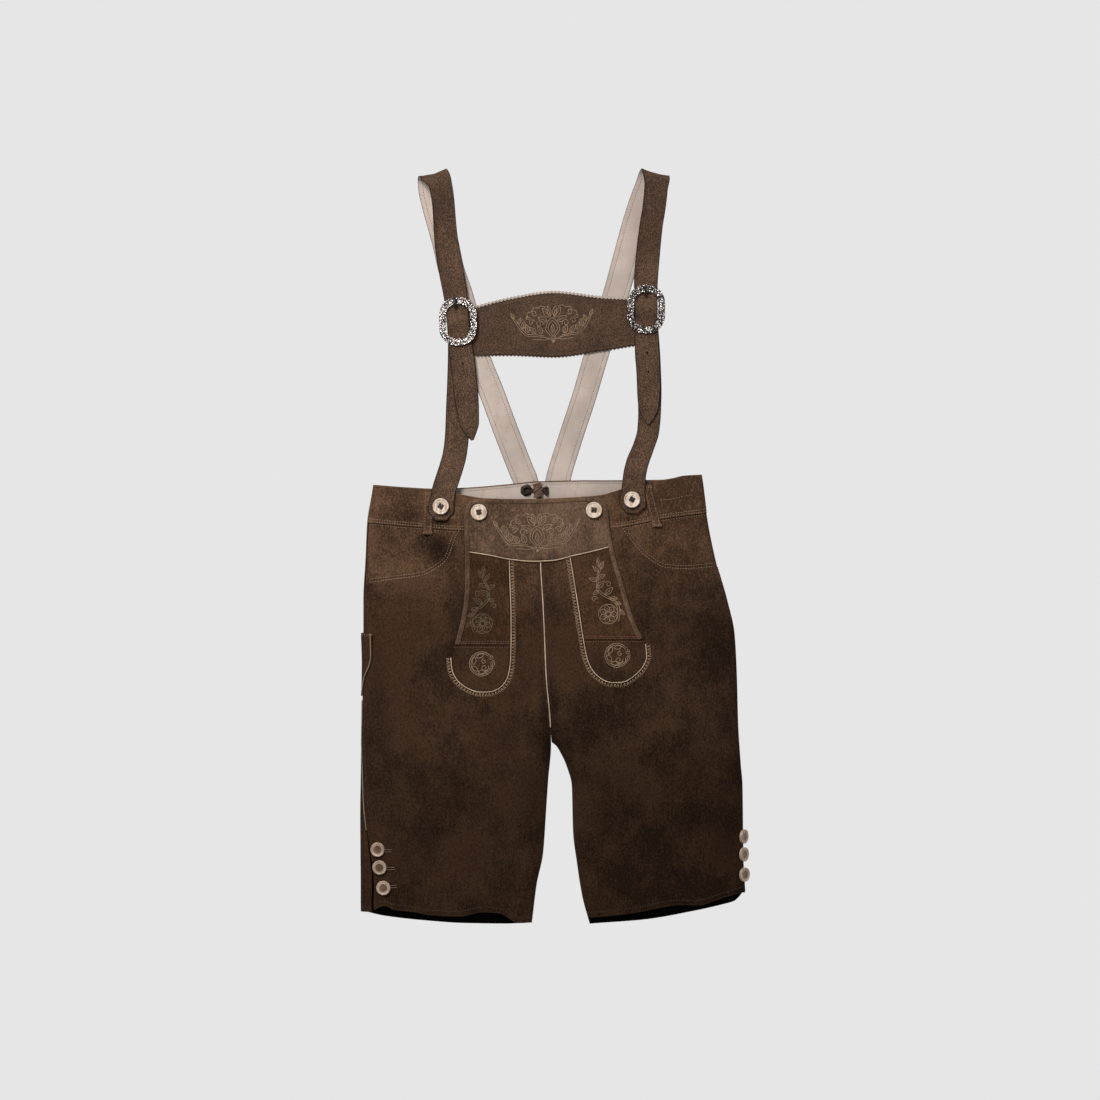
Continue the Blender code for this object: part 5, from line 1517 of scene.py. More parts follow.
def make_prong(half, x, y):
    """The bar across the buckle and the prong that lies on the strap's tail."""
    reach = BUCKLE_HALF_WIDTH - BUCKLE_RIM - GAP - 0.1
    start(bpy.ops.mesh.primitive_cylinder_add, vertices=20, radius=BAR_RADIUS * MM, depth=2 * reach * MM)
    pick("FACE", lambda face, middle: len(face.verts) > 4)
    inset_faces(0.3)
    bar = finished(moved(x, y, BUCKLE_BASE + BAR_RADIUS - 0.2) @ turned(90, "Y"))
    join([bar], f"buckle_bar_{half.name}_steel", "silver", f"buckle_bar_{half.name}")
    height = BUCKLE_BASE + BUCKLE_THICK + GAP + PRONG_RADIUS + 0.1
    start(bpy.ops.mesh.primitive_circle_add, vertices=14, radius=PRONG_RADIUS * 1.1 * MM, fill_type="NGON")
    for forward, rise, grow in PRONG_RINGS:
        bpy.ops.mesh.extrude_region_move(TRANSFORM_OT_translate={"value": (0, rise * MM, forward * MM)})
        bpy.ops.transform.resize(value=(grow, grow, 1))
    turn_outward()
    stand = moved(x + PRONG_ASIDE[half.name], y + 17, height - 3.2) @ turned(180, "Z") @ turned(90, "X")
    join([finished(stand)], f"buckle_prong_{half.name}_steel", "dark_steel", f"buckle_prong_{half.name}")


# The steps of a button's face, from its border inward: how wide each is, as a share of the radius, and how far it
# goes up. The fourth is the dished middle.
BUTTON_STEPS = ((0.2, 0), (0.07, -0.8), (0.1, 0.5), (0.22, None), (0.2, -0.1))


def button_blank(radius, thick, dish):
    """A horn button with a raised border, a dished middle and a groove between them."""
    start(bpy.ops.mesh.primitive_cylinder_add, vertices=44, radius=radius * MM, depth=thick * MM)
    bpy.ops.transform.translate(value=(0, 0, thick / 2 * MM))
    pick("FACE", lambda face, middle: len(face.verts) > 4 and middle.z > thick * 0.3 * MM)
    for share, rise in BUTTON_STEPS:
        inset_faces(radius * share, -dish if rise is None else rise)
    pick("FACE", lambda face, middle: len(face.verts) > 4 and middle.z < thick * 0.1 * MM)
    inset_faces(radius * 0.14)
    bpy.ops.transform.resize(value=(0.97, 0.97, 1))
    return soften(finished(smooth=60), 0.5, 3)


def knot_blank(size, height):
    """The flat leather knot in a button: two short laces and one that crosses them."""
    start(bpy.ops.mesh.primitive_cube_add, size=MM)
    bpy.ops.transform.resize(value=(size, size * 0.46, height))
    bpy.ops.mesh.subdivide(number_cuts=3)
    pick("FACE", lambda face, middle: face.normal.z > 0.9 and abs(middle.x) < size * 0.3 * MM)
    bpy.ops.transform.translate(value=(0, 0, height * 0.28 * MM))
    lace = soften(finished(smooth=60), height * 0.18, 2)
    cross = moved(0, 0, height * 0.45) @ turned(90, "Z") @ Matrix.Scale(0.82, 4)
    pieces = [copied(lace, stand) for stand in (moved(0, size * 0.26, 0), moved(0, -size * 0.26, 0), cross)]
    discard(lace)
    return pieces


BUTTON_RADIUS, BUTTON_THICK = 10.4, 4.0
HEM_BUTTON_RADIUS, HEM_BUTTON_THICK = 9.2, 3.4
BACK_BUTTON_THICK = 3.2
HEART_RADIUS = 4.9  # of the brown heart of a hem button
STRAP_BUTTONS = {"right": (-147.2, 51), "left": (99.6, 59.7)}
FLAP_BUTTONS = {"right": (-98, 43.4), "left": (50.5, 46)}
FLAP_BUTTON_TURNS = {"right": 8, "left": 84}
BACK_BUTTONS = {"right": (-35.4, 67), "left": (1.2, 69)}
HEM_BUTTONS = {
    "right": ((-228.7, -392.2), (-226.3, -415.5), (-221.5, -442)),
    "left": ((0, -376.6), (0, -399.8), (0, -426.1)),  # on the side seam, so x comes from the fold
}
LEFT_BUTTON_RISE = 3.0  # how high the left hem buttons sit above the fold


def make_buttons(settings):
    large = button_blank(BUTTON_RADIUS, BUTTON_THICK, 0.55)
    small = button_blank(HEM_BUTTON_RADIUS, HEM_BUTTON_THICK, 0.5)
    flat = button_blank(BUTTON_RADIUS, BACK_BUTTON_THICK, 0.4)
    laces, knots = knot_blank(7.0, 1.2), []
    for polygon in small.data.polygons:  # the brown heart of a hem button
        middle = polygon.center
        polygon.material_index = middle.to_2d().length < HEART_RADIUS * MM and middle.z > 1.5 * MM

    def put(blank, name, base, out, turn):
        stand = facing(base, out, turn)
        made = copied(blank, stand)
        for finish in ("hem_horn", "horn_heart") if blank is small else ("horn",):
            made.data.materials.append(FINISHES[finish])
        dressed(made, f"{name}_horn", name)
        if blank is large:
            knots.extend(copied(lace, stand @ moved(0, 0, BUTTON_THICK - 1.25)) for lace in laces)

    for half in HALVES:
        name = half.name
        base, out = on_front(*STRAP_BUTTONS[name], 0)
        put(large, f"strap_button_{name}", base + UP * (STRAP_END_LIFT + GAP + 0.3), out, 58)
        put(large, f"flap_button_{name}", *on_front(*FLAP_BUTTONS[name], FLAP_TOP + GAP + 0.1), FLAP_BUTTON_TURNS[name])
        put(flat, f"back_button_{name}", (*BACK_BUTTONS[name], 0), UP, 0)
        for k, (x, y) in enumerate(HEM_BUTTONS[name]):
            base, out = half.over(LEFT_BUTTON_RISE, y, GAP + 0.2) if half is LEFT else on_front(x, y, GAP + 0.1)
            put(small, f"hem_button_{name}_{k + 1}", base, out, 25 + 50 * k)
    join(knots, "button_knots", "knot_leather")
    discard(large, small, flat, *laces)


def swelling(width, first, last, least=0.0):
    """The radius along a strand that is widest in its middle."""
    return lambda share: width * (least + (1 - least) * math.sin(math.pi * between(first, last, share)))


# The back lacing: a bow of soft leather ribbon that lies on the waistband's facing.
LACE_MIDDLE = Vector((-22.2, 72.2, BACK_LIFT + PANEL + GAP + LINING + GAP))
LACE_THICK = 1.3
LACE_STANDS = 4.4  # how high the ribbon of the loops stands
LACE_LEANS = {"right": 2.6, "left": 1.0}  # how far its upper edge leans into the loop
LACE_LOOPS = {  # each loop's path from the middle of the knot
    "right": [(-9.4, 4), (-12.4, 6), (-17, 5), (-20.6, 1), (-20, -3.6), (-16, -6.2), (-12, -5.6), (-9.4, -3.6)],
    "left": [(9.4, 2.4), (10.4, 4), (11.8, 3.6), (12.9, 0.6), (12.5, -3.4), (11.4, -5.2), (10.2, -5), (9.4, -3.4)],
}
LACE_INSIDES = {"right": (-12.5, -0.6, 6.4), "left": (9.6, -0.8, 3)}  # the ribbon seen inside each loop
KNOT_FOLDS = [  # the folds over the knot: the middle, direction and half length, and half the width
    (-0.5, 7.4, 8, 5.6, 1.9), (0.4, 4.4, 24, 6.6, 1.8), (-0.6, 1.4, 38, 7.2, 1.8), (0.8, -1.8, 40, 7.0, 1.7),
    (0.6, -5.2, 32, 6.4, 1.8), (-3.4, 2.2, -58, 5.6, 1.2), (3.2, -3.4, -64, 4.6, 1.1), (-0.6, -8, 12, 5.2, 1.4),
]
KNOT = Vector((7.3, 9.6, 3.1))  # half the knot's width, length and height


def make_loop(half):
    """The ribbon loop on one side of the knot, and the ribbon seen inside it."""
    path = route(LACE_LOOPS[half.name], 0.9)

    def surface(k, step):
        sway = 0.35 * math.sin(k * 0.9) * step
        out = leftward(path, k).to_3d() * -half.side
        lean = UP * LACE_STANDS + out * LACE_LEANS[half.name]
        return LACE_MIDDLE + path[k].to_3d() + lean * (1 - step) + out * (sway - 0.3), out

    loop = Hide(surface, range(len(path)), fractions(LACE_STANDS, 0.7, (0.3, 0.7)))
    ribbon = loop.build(f"lacing_loop_{half.name}", LACE_THICK, "lace", "cord")
    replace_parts(ribbon, f"back_lacing_loop_{half.name}")
    x, y, reach = LACE_INSIDES[half.name]
    inside = [LACE_MIDDLE + Vector((x + half.side * reach * t, y, 0.6)) for t in (-1, -0.6, 0, 0.6, 1)]
    strand(f"lacing_inside_{half.name}", inside, swelling(4.2, 0.2, 0.85), "lace", flat=0.12)


def make_lacing(settings):
    """The knot of the back lacing, and a loop on each side of it."""
    for half in HALVES:
        make_loop(half)
    start(bpy.ops.mesh.primitive_uv_sphere_add, segments=32, ring_count=20, radius=MM)
    core = finished(smooth=80)
    for vertex in core.data.vertices:
        square = [math.copysign(abs(value) ** 0.7, value) for value in vertex.co.normalized()]
        shape = Vector([value * reach * 0.78 for value, reach in zip(square, KNOT)])
        vertex.co = (shape + LACE_MIDDLE + UP * KNOT.z * 1.08) * MM
    join([core], "lacing_knot", "lace", "back_lacing_knot")
    for k, (x, y, degrees, length, width) in enumerate(KNOT_FOLDS):
        run = toward(degrees).to_3d()
        points = []
        for t in (step / 5 - 1 for step in range(11)):
            rise = KNOT.z * (1.5 + 0.42 * math.cos(t * 1.5)) + 0.25 * (k % 3)
            points.append(LACE_MIDDLE + Vector((x, y, rise)) + run * t * length)
        strand(f"lacing_fold_{k + 1}", points, swelling(width, 0.06, 0.94, 0.35), "lace_suede", flat=0.42)


# The holes in the tails of the shoulder straps.
TAIL_HOLES = {
    "right": [(-123.8, 278.2), (-119.2, 236), (-116.7, 209.8)],
    "left": [(118.4, 303.4), (119.7, 250.6), (121.3, 225.8)],
}


def make_holes(settings):
    """Punched holes with a pressed rim, painted as shade."""
    holes = []
    for half in HALVES:
        hide = HIDES[f"shoulder_strap_{half.name}"]
        points, outs = hide.points.reshape(-1, 3), hide.outs.reshape(-1, 3)
        tail = (points[:, 1] < BUCKLE_CENTRES[half.name][1] + 10) & (outs[:, 2] > 0.5)
        points, outs = points[tail], outs[tail]
        for spot in TAIL_HOLES[half.name]:
            nearest = int(np.argmin(np.hypot(points[:, 0] - spot[0], points[:, 1] - spot[1])))
            start(bpy.ops.mesh.primitive_cylinder_add, vertices=20, radius=1.35 * MM, depth=0.3 * MM)
            pick("FACE", lambda face, middle: face.normal.z > 0.9)
            inset_faces(0.4, -0.12)
            holes.append(finished(facing((*spot, points[nearest][2]), outs[nearest])))
    join(holes, "tail_holes", "shade")


# Stitches along the seams

# Rows of stitches: the piece, or the pair of pieces, the edges, how far in from them, the thread, and the share of
# the edges' length.
Row = namedtuple("Row", "piece edges insets thread keep", defaults=[(0, 1)])
ROWS = table(
    Row,
    ("front_waistband", "bottom", (1.5, 4.6), "thread"),
    ("front_waistband", "top", (2.4,), "dark_thread"),
    ("back_waistband", "top", (2.4,), "dark_thread"),
    ("front_leg", "top", (1.6,), "seam_thread", (0, 0.36)),
    ("pocket_facing", "top", (1.6,), "seam_thread"),
    ("front_leg", "bottom", (6.5,), "dark_thread"),
    ("front_leg", "first", (2.4,), "dark_thread", (0, 0.44)),
    ("back_leg", "bottom", (6.5,), "dark_thread"),
    ("belt_loop", "first last", (1.8,), "seam_thread"),
    ("belt_loop", "top bottom", (3.0, 1.8), "seam_thread"),
    ("lower_strap", "first last", (3.6,), "strap_thread"),
    ("shoulder_strap", "first last", (3.6,), "strap_thread"),
    ("strap_lining", "first last", (5.4,), "cream_thread"),
    ("waistband_facing", "top", (2.6,), "cream_thread"),
    ("flap_tip", "top", (2.2,), "red_thread"),
    ("flap_tongue", "bottom", (2.2, 4.6), "red_thread"),
    ("chest_strap", "top bottom", (6.2,), "strap_thread"),
    ("chest_strap", "first last", (4.0,), "strap_thread"),
    ("flap_yoke", "bottom", (2.0,), "dark_thread"),
    ("knife_pocket", "top", (2.0,), "thread"),
)
POCKET_ROWS = (1.4, 5.2)  # how far the rows of a pocket's mouth lie in from its edge


def on_leg(path, lift=0.0):
    """The line of the front under a path in the plane."""
    return as_line([on_front(spot.x, spot.y, lift) for spot in path])


def pocket_path(half):
    """The edge of a pocket's mouth in the plane, from the waistband's seam to the side."""
    edge = half.lines["pocket"]
    shares = [between(edge.places[0] + 0.012, 0.97, k / 40) for k in range(41)]
    return route([tuple(placed(half, ("front", share), edge(share))[0].xy) for share in shares], 2.0)


THREADS = ("thread", "seam_thread", "dark_thread", "strap_thread", "cream_thread", "red_thread", "comb_thread")


def make_stitches(settings):
    threads = {name: Thread() for name in THREADS}
    long = settings.stitch_length
    for ending, row in itertools.product(("_right", "_left", ""), ROWS):
        hide = HIDES.get(row.piece + ending)
        for edge, place in itertools.product(row.edges.split(), row.insets) if hide else ():
            threads[row.thread].sew(hide.line(edge, place, row.keep), long)
    for half in HALVES:
        mouth = pocket_path(half)
        for place, thread in zip(POCKET_ROWS, ("thread", "seam_thread")):
            threads[thread].sew(on_leg(offset(mouth, -half.side * place)), long)
        binding = HIDES[f"flap_binding_{half.name}"]
        threads["dark_thread"].sew(binding.line(BINDING_SEWN[half.name], 1.2), long)
        threads["comb_thread"].comb(on_leg(tongue_outline(half, PIPING + 1.4)), half.side * 6.0, 4.0, 1.5)
        seam = [Vector((on_centre(y) + half.side * 3.2, y)) for y in np.linspace(-24, -232, 80)]
        threads["dark_thread"].sew(on_leg(seam), long)
    seam = [RIGHT.over(RIGHT.seam_rise(y) + 2.6, y) for y in np.linspace(-60, -470, 150)]
    threads["dark_thread"].sew(as_line(seam), long)
    threads["seam_thread"].sew(HIDES["front_waistband_left"].line("top", 26, (0.72, 0.93)), long)
    sew_buttonholes(threads["seam_thread"])
    for name, thread in threads.items():
        thread.build(f"stitches_{name}", name)


# Buttonholes: the middle, the direction in degrees and the length of each slit.
BUTTONHOLES = [((-91.5, 34.6), -38, 9), ((-214.5, -417), 2, 14), ((-210.5, -440.5), 4, 13), ((-216.5, -394), 0, 12)]


def sew_buttonholes(thread):
    """A slit painted as shade at each buttonhole, with close stitches along both sides."""
    for k, (middle, degrees, length) in enumerate(BUTTONHOLES):
        lift = FLAP_TOP if middle[1] > 0 else 0
        reach = toward(degrees) * length / 2
        slit = route([Vector(middle) - reach, Vector(middle) + reach], 0.8)
        points, _ = on_leg(slit, lift + 0.05)
        strand(f"buttonhole_{k + 1}", points, swelling(0.75, 0.1, 0.9), "shade", sides=6, flat=0.35)
        for aside in (-1.3, 1.3):
            thread.zigzag(on_leg(offset(slit, aside), lift), 1.2, 0.7)


# Embroidery


class Drawing:
    """Lines in stem stitch on a piece: ground turns a place in the plane into a point and its direction."""

    LEAF = ((0, 0), (0.2, 0.36), (0.45, 0.5), (0.75, 0.3), (1, 0))  # one side of a leaf, its length and width 1

    def __init__(self, thread, ground, centre, turn, size=1.0, mirror=1):
        self.thread, self.ground = thread, ground
        self.centre, self.turn = Vector(centre), Matrix.Rotation(math.radians(turn), 2)
        self.size, self.mirror = size, mirror

    def stroke(self, points):
        spots = [self.centre + self.turn @ Vector((x * self.mirror, y)) * self.size for x, y in points]
        self.thread.rope(as_line([self.ground(*spot) for spot in route(spots, 0.9)]))

    def leaf(self, x, y, angle, length, width, vein=0.7):
        """A pointed leaf from its stalk at (x, y), with a vein down part of its length."""
        base, run = Vector((x, y)), toward(angle)
        side = Vector((-run.y, run.x))
        for way in (-1, 1):
            self.stroke([base + run * (a * length) + side * (b * width * way) for a, b in self.LEAF])
        if vein:
            self.stroke([base + run * (length * 0.12), base + run * (length * vein)])

    def curl(self, x, y, angle, radius, turns, way):
        """A tendril that winds in from (x, y)."""
        middle = Vector((x, y)) - toward(angle, radius)
        wound = [k / 18 for k in range(19)]
        self.stroke([middle + toward(angle + way * t * turns * 360, radius * (1 - 0.82 * t)) for t in wound])

    def flower(self, x, y, radius, petals):
        """A flower with a round heart."""
        for k in range(petals):
            angle = 90 + 360 * k / petals
            foot = Vector((x, y)) + toward(angle, 0.28 * radius)
            self.leaf(*foot, angle, radius * 0.74, radius * 0.62, 0.55)
        self.ring(x, y, radius * 0.24)

    def ring(self, x, y, radius, first=0, last=360):
        self.stroke([Vector((x, y)) + toward(between(first, last, k / 16), radius) for k in range(17)])

    def draw(self, **shapes):
        """Draws many shapes of each kind."""
        for kind, places in shapes.items():
            for place in places:
                getattr(self, kind)(*place)


def spray(thread, ground, centre, turn, size=1.0):
    """A bud over a pointed heart, with a leafy branch to each side."""
    for mirror in (-1, 1):
        half = Drawing(thread, ground, centre, turn, size, mirror)
        for line in (
            [(0, -23), (4, -17), (9.5, -9), (7, 0), (0, 7)], [(0, -19), (3, -14), (6.2, -8.5), (4.5, -2), (0, 3)],
            [(1, -24), (10, -20), (22, -18), (34, -17), (44, -8), (55, 11)],
            [(12, -17.5), (24, -15.5), (33, -14.6), (41, -7.5), (50, 6)],
        ):
            half.stroke(line)
        half.draw(
            leaf=(
                (15, -15, 68, 12, 6.5), (23, -14, 48, 12, 6), (33, -12, 76, 11, 5.5), (40, -7, 98, 11, 5),
                (46, 0, 112, 9, 4.5), (51, 7, 62, 9, 4), (3, 7, 55, 16, 7.5), (7, 2, 24, 14, 7), (2.5, 9, 78, 14, 5.5),
            ),
            curl=(
                (13, -3, 200, 5.2, 1.3, -1), (24, 2, 170, 4.4, 1.2, -1), (20, 12, 210, 4.4, 1.2, 1),
                (30, 8, 180, 3.2, 1.1, 1),
            ),
        )
        half.stroke([(8, 21), (14, 23), (19, 20.5), (24, 21), (28, 16), (33, 14), (34, 8)])
        half.stroke([(2, -21), (12, -23), (20, -22.5), (28, -21.5)])
    whole = Drawing(thread, ground, centre, turn, size)
    whole.draw(leaf=[(0, -14, 90, 12, 4.5)], ring=[(0, -25.5, 1.5), (0, -25.5, 0.6)])


def vine(stem):
    """A climbing stem with a flower at its foot."""
    stem.stroke([(-8, -40), (-13, -26), (-9, -12), (2, -2), (7, 9), (4, 21), (-1, 30), (0, 42)])
    stem.stroke([(-6, -36), (-10.4, -25), (-6.5, -13), (4, -3.5), (9.6, 8), (6.4, 20), (1.5, 29)])
    stem.draw(
        flower=[(3, -28, 11.5, 7)],
        ring=[(3, -28, 12.6)],
        leaf=(
            (0, 33, 96, 13, 4.6), (-1, 30, 124, 12, 4.2), (1.5, 27, 58, 11, 4.4), (6, 17, 30, 11, 5),
            (5.5, 20, 168, 11, 5), (9, 8, 150, 13, 6), (7.5, 4, -16, 9, 4.6), (1, -3, 150, 14, 6), (-4, -9, 196, 10, 5),
        ),
        curl=[(-3, 12, 40, 4.2, 1.2, 1), (12, -6, 200, 4.0, 1.2, -1)],
    )
    stem.draw(leaf=[(-10, -16, 210, 8, 4), (-12, -26, 236, 10, 4.4)])


def roundel(wreath):
    """A wreath of curling leaves."""
    wreath.draw(ring=[(0, 0, 15.5, 20, 290), (0, 0, 13.4, 36, 276)])
    for angle in (66, 124, 182, 240):
        wreath.leaf(*toward(angle, 12.6), angle + 128, 10.5, 5.0, 0)
    wreath.draw(curl=[(8, -4, 20, 5.4, 1.3, -1), (4, 6, 90, 3.6, 1.1, 1)])
    wreath.draw(leaf=[(2, -13, 24, 12, 5), (12, -7, 62, 10, 4.6)], curl=[(15, 8, 60, 3.4, 1.1, -1)])


def on_chest(x, y):
    return Vector((x, y, chest_height(x, y))), UP


def on_flap(x, y):
    return on_front(x, y, FLAP_TOP)


def make_embroidery(settings):
    thread, dull = Thread(), Thread()
    spray(thread, on_flap, (-23, 19), 2)
    spray(thread, on_chest, (-3, 290), 3, 0.96)
    vine(Drawing(dull, on_flap, (-94, -72), -4))
    vine(Drawing(thread, on_flap, (65, -60), 14, mirror=-1))
    roundel(Drawing(thread, on_flap, (-94.5, -152), 12))
    roundel(Drawing(thread, on_flap, (80, -141), -4))
    thread.build("embroidery", "embroidery_thread")
    dull.build("embroidery_dark", "dull_thread")


# The stage

FLOOR_Z = -0.3  # just under the leather
CAMERA = (-0.0062, -0.0052, 3.0)
FRAME_WIDTH = 1.43  # metres seen across the picture
SENSOR = 36  # millimetres


def add_light(name, spot, size, watts, colour):
    """A soft square light that looks at the garment."""
    select()
    aim = (-Vector(spot)).to_track_quat("-Z", "Y").to_euler()
    bpy.ops.object.light_add(type="AREA", location=spot, rotation=aim)
    light = bpy.context.object
    light.name = name
    light.data.energy, light.data.size, light.data.color = watts, size, colour
    return light


def make_stage(settings):
    select()
    bpy.ops.mesh.primitive_plane_add(size=6, location=(0, 0, FLOOR_Z * MM))
    floor = bpy.context.object
    floor.name = "floor"
    floor.data.materials.append(FINISHES["floor"])
    bpy.ops.object.camera_add(location=CAMERA, rotation=(0, 0, 0))
    camera = bpy.context.object
    camera.name = "camera"
    camera.data.sensor_width = SENSOR
    camera.data.lens = SENSOR * CAMERA[2] / FRAME_WIDTH
    key = add_light("key", (-0.7, 1.25, 1.5), 0.7, settings.key_power, (1.0, 0.985, 0.96))
    fill = add_light("fill", (1.1, -0.9, 2.2), 1.8, settings.key_power * 0.25, (0.97, 0.985, 1.0))
    world = bpy.data.worlds.new("studio")
    world.use_nodes = True
    background = world.node_tree.nodes["Background"].inputs
    background["Color"].default_value = (1, 1, 1, 1)
    background["Strength"].default_value = settings.sky
    scene = bpy.context.scene
    scene.camera, scene.world = camera, world
    scene.view_settings.view_transform = "Standard"


# The add-on


def colour_setting(name, description, default):
    return bpy.props.FloatVectorProperty(
        name=name, description=description, default=default, subtype="COLOR", size=3, min=0.0, max=1.0
    )


class LederhosenSettings(bpy.types.PropertyGroup):
    """The sizes and colours of the lederhosen."""

    weave_step: bpy.props.FloatProperty(
        name="Detail", description="Distance between the points of a leather panel, in millimetres",
        default=3.2, min=2.0, max=8.0,
    )
    stitch_length: bpy.props.FloatProperty(
        name="Stitch length", description="Length of a stitch along the seams, in millimetres",
        default=2.6, min=1.0, max=6.0,
    )
    leg_colour: colour_setting("Legs", "Suede of the legs and the waistband", (0.0585, 0.0312, 0.0178))
    flap_colour: colour_setting("Flap", "Suede of the drop flap", (0.094, 0.056, 0.0355))
    strap_colour: colour_setting("Straps", "Leather of the straps", (0.092, 0.0505, 0.03))
    cream_colour: colour_setting("Lining", "Cream leather of the linings", (0.405, 0.33, 0.285))
    thread_colour: colour_setting("Thread", "Thread of the seams and the embroidery", (0.3, 0.2, 0.13))
    piping_colour: colour_setting("Piping", "Cream piping in the seams", (0.46, 0.33, 0.22))
    key_power: bpy.props.FloatProperty(
        name="Key light", description="Power of the main light", default=46, subtype="POWER", unit="POWER"
    )
    sky: bpy.props.FloatProperty(
        name="Sky", description="Brightness of the light from all around", default=0.28, min=0.0
    )


# How bright each thread is beside the thread's colour.
THREAD_TONES = {"thread": 1, "seam_thread": 0.82, "comb_thread": 1.6, "dull_thread": 0.5, "embroidery_thread": 1.1}


def make_finishes(settings):
    leg, flap, strap, cream, thread, piping = (
        tuple(getattr(settings, f"{name}_colour")) for name in ("leg", "flap", "strap", "cream", "thread", "piping")
    )
    paint_suede("suede", leg, graded=True)
    paint_suede("band_suede", tone(leg, 1.46))
    paint_suede("pocket_suede", tone(leg, 1.18))
    # The flap's pieces have their rims painted dark as shade.
    paint_suede("flap_suede", flap, False, 0.2)
    paint_suede("tongue_suede", tone(flap, 0.51, 0.42, 0.34), False, 0.2)
    paint_suede("tip_suede", tone(flap, 0.41, 0.36, 0.3), False, 0.3)
    paint_suede("edge_suede", flap, False)
    paint_suede("lace_suede", (0.09, 0.052, 0.037), False)
    paint_suede("knot_leather", (0.045, 0.032, 0.022), False)
    paint_shade("shade", (0.0035, 0.0028, 0.0024))
    paint_leather("strap_leather", strap)
    paint_leather("chest_leather", tone(strap, 0.8))
    paint_cream("cream_leather", cream)
    for name, factor in THREAD_TONES.items():
        paint_thread(name, tone(thread, factor))
    paint_thread("dark_thread", tone(strap, 0.6))
    paint_thread("cream_thread", tone(cream, 0.42))
    paint_thread("strap_thread", tone(strap, 0.3))
    paint_thread("red_thread", (0.16, 0.075, 0.05))
    paint_thread("piping", piping, 0.6)
    # Piping painted darker as shade, for the side of the trousers.
    paint_thread("dull_piping", tone(piping, 0.42), 0.6)
    paint_horn("horn", (0.56, 0.46, 0.38))
    paint_horn("hem_horn", (0.38, 0.29, 0.22))
    paint_horn("horn_heart", (0.13, 0.075, 0.045))
    paint_silver("silver", (0.37, 0.33, 0.315))
    paint_silver("dark_steel", (0.05, 0.045, 0.04))
    paint_lace("lace", (0.026, 0.017, 0.012))
    paint_floor("floor", (0.7915, 0.7915, 0.7915))


class BuildOperator:
    """What the operators of the pieces share."""

    bl_options = {"REGISTER", "UNDO"}

    def execute(self, context):
        self.build(context.scene.lederhosen)
        return {"FINISHED"}


class LEDERHOSEN_OT_finishes(BuildOperator, bpy.types.Operator):
    """Makes the materials of the leather, thread, horn and metal"""

    bl_idname = "lederhosen.finishes"
    bl_label = "Finishes"
    build = staticmethod(make_finishes)


class LEDERHOSEN_OT_legs(BuildOperator, bpy.types.Operator):
    """Makes the four leg panels"""

    bl_idname = "lederhosen.legs"
    bl_label = "Legs"
    build = staticmethod(make_legs)


class LEDERHOSEN_OT_waistband(BuildOperator, bpy.types.Operator):
    """Makes the waistband and its cream facing"""

    bl_idname = "lederhosen.waistband"
    bl_label = "Waistband"
    build = staticmethod(make_waistband)


class LEDERHOSEN_OT_pockets(BuildOperator, bpy.types.Operator):
    """Makes the pocket facings and the knife pocket"""

    bl_idname = "lederhosen.pockets"
    bl_label = "Pockets"
    build = staticmethod(make_pockets)


class LEDERHOSEN_OT_belt_loops(BuildOperator, bpy.types.Operator):
    """Makes the belt loops"""

    bl_idname = "lederhosen.belt_loops"
    bl_label = "Belt loops"
    build = staticmethod(make_belt_loops)


class LEDERHOSEN_OT_flap(BuildOperator, bpy.types.Operator):
    """Makes the yoke, the tongues and the edge of the drop flap"""

    bl_idname = "lederhosen.flap"
    bl_label = "Drop flap"
    build = staticmethod(make_flap)


class LEDERHOSEN_OT_piping(BuildOperator, bpy.types.Operator):
    """Makes the piping of the centre and side seams"""

    bl_idname = "lederhosen.piping"
    bl_label = "Piping"
    build = staticmethod(make_piping)


class LEDERHOSEN_OT_straps(BuildOperator, bpy.types.Operator):
    """Makes the shoulder straps, their linings and the lower straps"""

    bl_idname = "lederhosen.straps"
    bl_label = "Straps"
    build = staticmethod(make_straps)


class LEDERHOSEN_OT_chest_strap(BuildOperator, bpy.types.Operator):
    """Makes the chest strap and its backing"""

    bl_idname = "lederhosen.chest_strap"
    bl_label = "Chest strap"
    build = staticmethod(make_chest_strap)


class LEDERHOSEN_OT_buckles(BuildOperator, bpy.types.Operator):
    """Makes the silver buckles"""

    bl_idname = "lederhosen.buckles"
    bl_label = "Buckles"
    build = staticmethod(make_buckles)


class LEDERHOSEN_OT_buttons(BuildOperator, bpy.types.Operator):
    """Makes the horn buttons and their knots"""

    bl_idname = "lederhosen.buttons"
    bl_label = "Buttons"
    build = staticmethod(make_buttons)


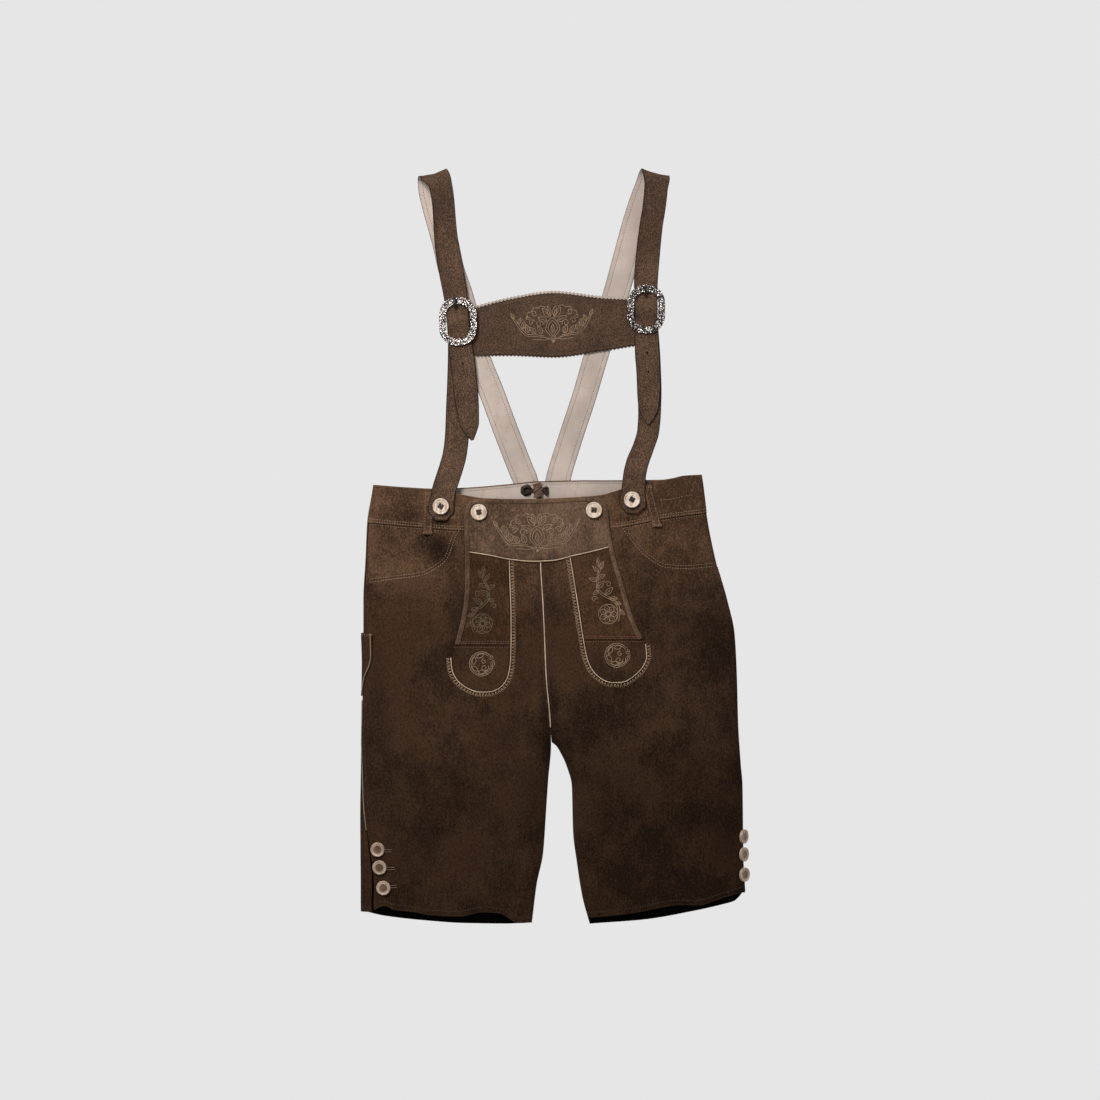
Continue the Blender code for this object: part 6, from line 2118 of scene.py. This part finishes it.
class LEDERHOSEN_OT_lacing(BuildOperator, bpy.types.Operator):
    """Makes the lacing at the back of the waist"""

    bl_idname = "lederhosen.lacing"
    bl_label = "Back lacing"
    build = staticmethod(make_lacing)


class LEDERHOSEN_OT_holes(BuildOperator, bpy.types.Operator):
    """Makes the holes in the tails of the straps"""

    bl_idname = "lederhosen.holes"
    bl_label = "Strap holes"
    build = staticmethod(make_holes)


class LEDERHOSEN_OT_stitches(BuildOperator, bpy.types.Operator):
    """Sews the seams"""

    bl_idname = "lederhosen.stitches"
    bl_label = "Stitches"
    build = staticmethod(make_stitches)


class LEDERHOSEN_OT_embroidery(BuildOperator, bpy.types.Operator):
    """Embroiders the flap and the chest strap"""

    bl_idname = "lederhosen.embroidery"
    bl_label = "Embroidery"
    build = staticmethod(make_embroidery)


class LEDERHOSEN_OT_stage(BuildOperator, bpy.types.Operator):
    """Adds the floor, the camera and the lights"""

    bl_idname = "lederhosen.stage"
    bl_label = "Stage"
    build = staticmethod(make_stage)


OPERATORS = BuildOperator.__subclasses__()  # in the order above, in which they are called


class LEDERHOSEN_PT_panel(bpy.types.Panel):
    """The settings and the steps of the lederhosen."""

    bl_label = "Lederhosen"
    bl_idname = "LEDERHOSEN_PT_panel"
    bl_space_type = "VIEW_3D"
    bl_region_type = "UI"
    bl_category = "Lederhosen"

    def draw(self, context):
        column = self.layout.column()
        for name in LederhosenSettings.__annotations__:
            column.prop(context.scene.lederhosen, name)
        for operator in OPERATORS:
            column.operator(operator.bl_idname)


CLASSES = (LederhosenSettings, *OPERATORS, LEDERHOSEN_PT_panel)


def register():
    for kind in CLASSES:
        bpy.utils.register_class(kind)
    bpy.types.Scene.lederhosen = bpy.props.PointerProperty(type=LederhosenSettings)


def unregister():
    del bpy.types.Scene.lederhosen
    for kind in reversed(CLASSES):
        bpy.utils.unregister_class(kind)


def main():
    register()
    for operator in OPERATORS:
        getattr(bpy.ops.lederhosen, operator.bl_idname.split(".")[1])()


if __name__ == "__main__":
    main()
